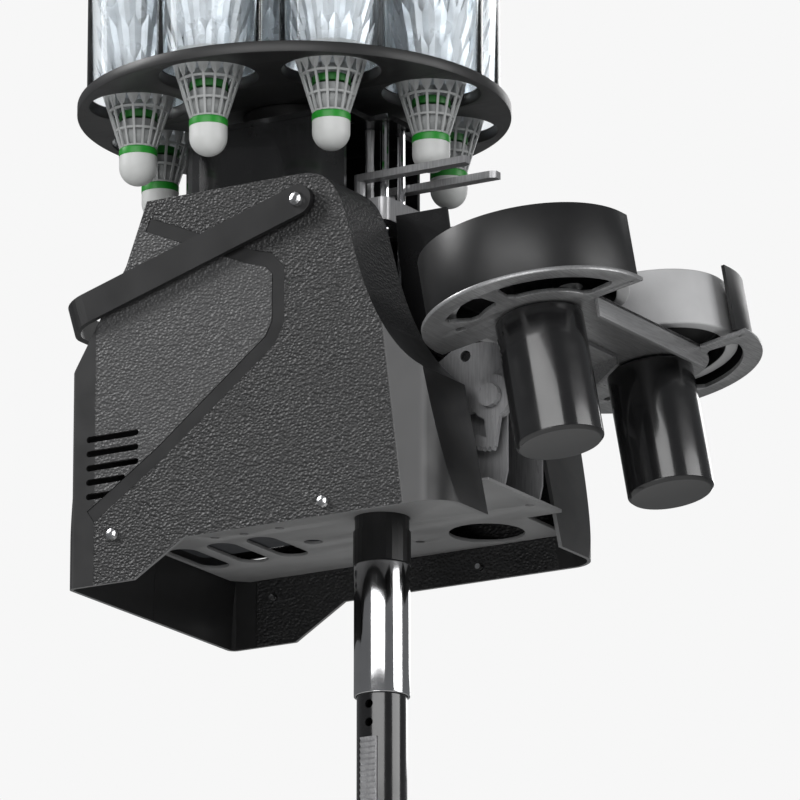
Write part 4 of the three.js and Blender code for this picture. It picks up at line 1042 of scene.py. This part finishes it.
def cover_side_outline(inset):
    """The cover seen from the side, drawn in by an inset."""
    # Along, down, and the inset's shares in x and in z
    front_shares = [(0.36, 0, 0, 1), (0.36, 0.22, 0.6, 0), (0.49, 0.49, 1, 0), (0.61, 0.73, 1, 0),
                    (0.78, 0.91, 1, 0), (1, 1, 1, 1)]
    run, rise = cover_shoulder_run, cover_shoulder_rise
    back, top_back = cover_back_x + inset, cover_top_back_x + 0.6 * inset
    under = cover_under_overrun if inset else 0.0
    front = [(cover_top_front_x + along * run - in_x * inset, cover_top_z - down * rise - in_z * inset)
             for along, down, in_x, in_z in front_shares]
    curve = bezier((cover_top_front_x, cover_top_z - inset), *front[:3]) + bezier(*front[2:])[1:]
    foot, *rest = [(back - lean, z) for lean, z in cover_back_points]
    return [(foot[0], foot[1] - under), *rest, (back, cover_back_top_z - 0.3 * inset),
            (top_back - 0.17 * run, cover_back_top_z + 0.47 * rise), (top_back, cover_top_z - inset), *curve,
            (cover_front_x - inset, cover_side_bottom - under),
            (cover_step_front_x + inset, cover_side_bottom - under),
            (cover_step_back_x + inset, foot[1] - under)]


def cover_plan_outline(inset):
    half, rear, front = cover_half - inset, cover_rear_r - inset, cover_front_r - inset
    back_x = cover_back_x + inset - cover_back_lean + rear
    front_x = cover_front_x - inset - front
    return [*arc((front_x, half - front), front, 0, 90, 16), *arc((back_x, half - rear), rear, 90, 180, 10),
            *arc((back_x, -half + rear), rear, 180, 270, 10),
            *arc((front_x, -half + front), front, 270, 360, 16)]


def plan_prism(inset):
    return prism(cover_plan_outline(inset), cover_cut_low_z, cover_cut_high_z)


def vent_outline(index):
    radius = vent_width / 2
    length = vent_length * min(1.0, 0.5 + 0.25 * index)
    middle = vent_low_z + vent_pitch * index + radius
    return [*arc((vent_back_x + length - radius, middle), radius, -90, 90, 8),
            *arc((vent_back_x + radius, middle), radius, 90, 270, 8)]


def side_prism(outline, first_y, second_y):
    """An outline in X and Z pushed through between two places along Y."""
    return prism(outline, *sorted((first_y, second_y)), xz_turn)


def cover_skin(side):
    """The cover's folded sheet with its groove, vents, bolt holes and the slot for the launcher head."""
    near, far = side * cover_middle_gap, side * cover_half
    outside, inside = side * (cover_half + cutter_out), side * (cover_half - cutter_in)
    inner_near, inner_far = min(near, far) - cutter_span, max(near, far) + cutter_span
    inner = combined("inner", side_prism(cover_side_outline(cover_wall), inner_near, inner_far),
                     [("INTERSECT", plan_prism(cover_wall))])
    through = [side_prism(vent_outline(i), outside, inside) for i in range(vent_count)]
    through += [side_prism(circle((x, z), r, 24), outside, inside) for x, z, r in bolt_places]
    groove = side_prism(ribbon(groove_line, groove_half), side * (cover_half - groove_depth), outside)
    slot = boxed("slot", (slot_back_x, -slot_half, cover_cut_low_z),
                 (slot_front_x, slot_half, cover_cut_high_z))
    skin = combined("skin", side_prism(cover_side_outline(0.0), near, far),
                    [("INTERSECT", plan_prism(0.0)), ("DIFFERENCE", inner), ("DIFFERENCE", slot),
                     ("DIFFERENCE", groove), ("DIFFERENCE", merged("through", through))])
    return smooth(skin, 24.0)


def build_cover(side, label):
    skin = cover_skin(side)
    skin.materials.clear()
    skin.materials.append(looks["textured_sheet"])
    skin.materials.append(edge_highlight_look)
    # The slot's cut faces and the downward faces at the bottom take the painted edge highlight
    for face in skin.polygons:
        centre, normal = face.center, face.normal
        at_slot = abs(abs(centre.y) - slot_half) < slot_face_margin and abs(normal.y) > 0.9
        under = normal.z < -0.6 and centre.z < cover_side_bottom + under_face_margin
        face.material_index = 1 if at_slot or under else 0
    new_piece(f"cover_{label}_sheet", skin, None, "head", "textured_sheet", f"cover_{label}")
    inlay = side_prism(ribbon(groove_line, groove_half - inlay_clearance, -inlay_clearance),
                       side * (cover_half - groove_depth - inlay_sink), side * (cover_half - inlay_clearance))
    new_piece(f"cover_{label}_inlay", inlay, inlay_look, "head", "textured_sheet")


build_shuttles()
build_tubes()
build_disc()
build_mast()
build_deck()
build_launcher()
for cover_side, cover_label in ((-1, "near"), (1, "far")):
    build_cover(cover_side, cover_label)


# Stage: a pale floor well below the camera, soft lights, and a pale world behind
floor_z = -1.3
floor_half = 40.0
paper = (0.93, 0.93, 0.93, 1.0)
machine_middle = (-0.02, 0.0, 0.42)


def seen_rays(tree):
    """1 for rays from the camera or through glass."""
    path = tree.nodes.new("ShaderNodeLightPath")
    clear = tree.nodes.new("ShaderNodeMath")
    clear.operation = "MAXIMUM"
    tree.links.new(path.outputs["Is Camera Ray"], clear.inputs[0])
    tree.links.new(path.outputs["Is Transmission Ray"], clear.inputs[1])
    return clear.outputs[0]


def mix_into_output(tree, out, share, lit, pale):
    mix = tree.nodes.new("ShaderNodeMixShader")
    tree.links.new(share, mix.inputs["Fac"])
    tree.links.new(lit, mix.inputs[1])
    tree.links.new(pale, mix.inputs[2])
    tree.links.new(mix.outputs[0], out.inputs["Surface"])


def pale_world():
    world = bpy.data.worlds.new("studio")
    scene.world = world
    world.use_nodes = True
    tree = world.node_tree
    out = tree.nodes["World Output"]
    soft = tree.nodes["Background"]
    soft.inputs["Color"].default_value = (0.9, 0.92, 0.95, 1.0)
    soft.inputs["Strength"].default_value = 0.16
    seen = tree.nodes.new("ShaderNodeBackground")
    seen.inputs["Color"].default_value = paper
    mix_into_output(tree, out, seen_rays(tree), soft.outputs[0], seen.outputs[0])


def pale_floor():
    mesh = bpy.data.meshes.new("floor")
    corners = [(x * floor_half, y * floor_half, floor_z) for x, y in ((-1, -1), (1, -1), (1, 1), (-1, 1))]
    mesh.from_pydata(corners, [], [(0, 1, 2, 3)])
    floor = bpy.data.objects.new("floor", mesh)
    scene.collection.objects.link(floor)
    look = Look("floor", (0.8, 0.8, 0.79), 0.8)
    look.vary_colour(look.noise(3.0), (0.76, 0.76, 0.75))
    brighten_for_camera(look.material.node_tree)
    mesh.materials.append(look.material)


def brighten_for_camera(tree):
    """Lifts the floor towards white for the camera and for glass, with no more light on the machine."""
    out = next(node for node in tree.nodes if node.type == "OUTPUT_MATERIAL")
    lit = out.inputs["Surface"].links[0].from_socket
    share = tree.nodes.new("ShaderNodeMath")
    share.operation = "MULTIPLY"
    share.inputs[1].default_value = 0.92
    tree.links.new(seen_rays(tree), share.inputs[0])
    pale = tree.nodes.new("ShaderNodeEmission")
    pale.inputs["Color"].default_value = paper
    mix_into_output(tree, out, share.outputs[0], lit, pale.outputs[0])


def area_light(name, place, size, power):
    data = bpy.data.lights.new(name, "AREA")
    data.shape = "RECTANGLE"
    data.size, data.size_y = size
    data.energy = power
    light = bpy.data.objects.new(name, data)
    light.location = place
    light.rotation_euler = (Vector(machine_middle) - Vector(place)).to_track_quat("-Z", "Y").to_euler()
    scene.collection.objects.link(light)


pale_world()
pale_floor()
area_light("key", (-2.5, -1.3, 2.2), (0.9, 1.3), 50.0)
area_light("front_box", (0.75, -2.9, 1.15), (3.2, 1.3), 52.0)
area_light("side_box", (2.9, 0.5, 1.0), (2.2, 1.3), 36.0)
area_light("low", (0.3, -2.4, -0.9), (1.2, 0.6), 9.0)
area_light("back", (-0.4, 2.6, 1.4), (1.4, 1.4), 16.0)

# The CAD nodes are shaded smooth between their sharp edges
for node in nodes.values():
    node.data.shade_smooth()
    edges = node.modifiers.new("edges", "EDGE_SPLIT")
    edges.split_angle = math.radians(32)
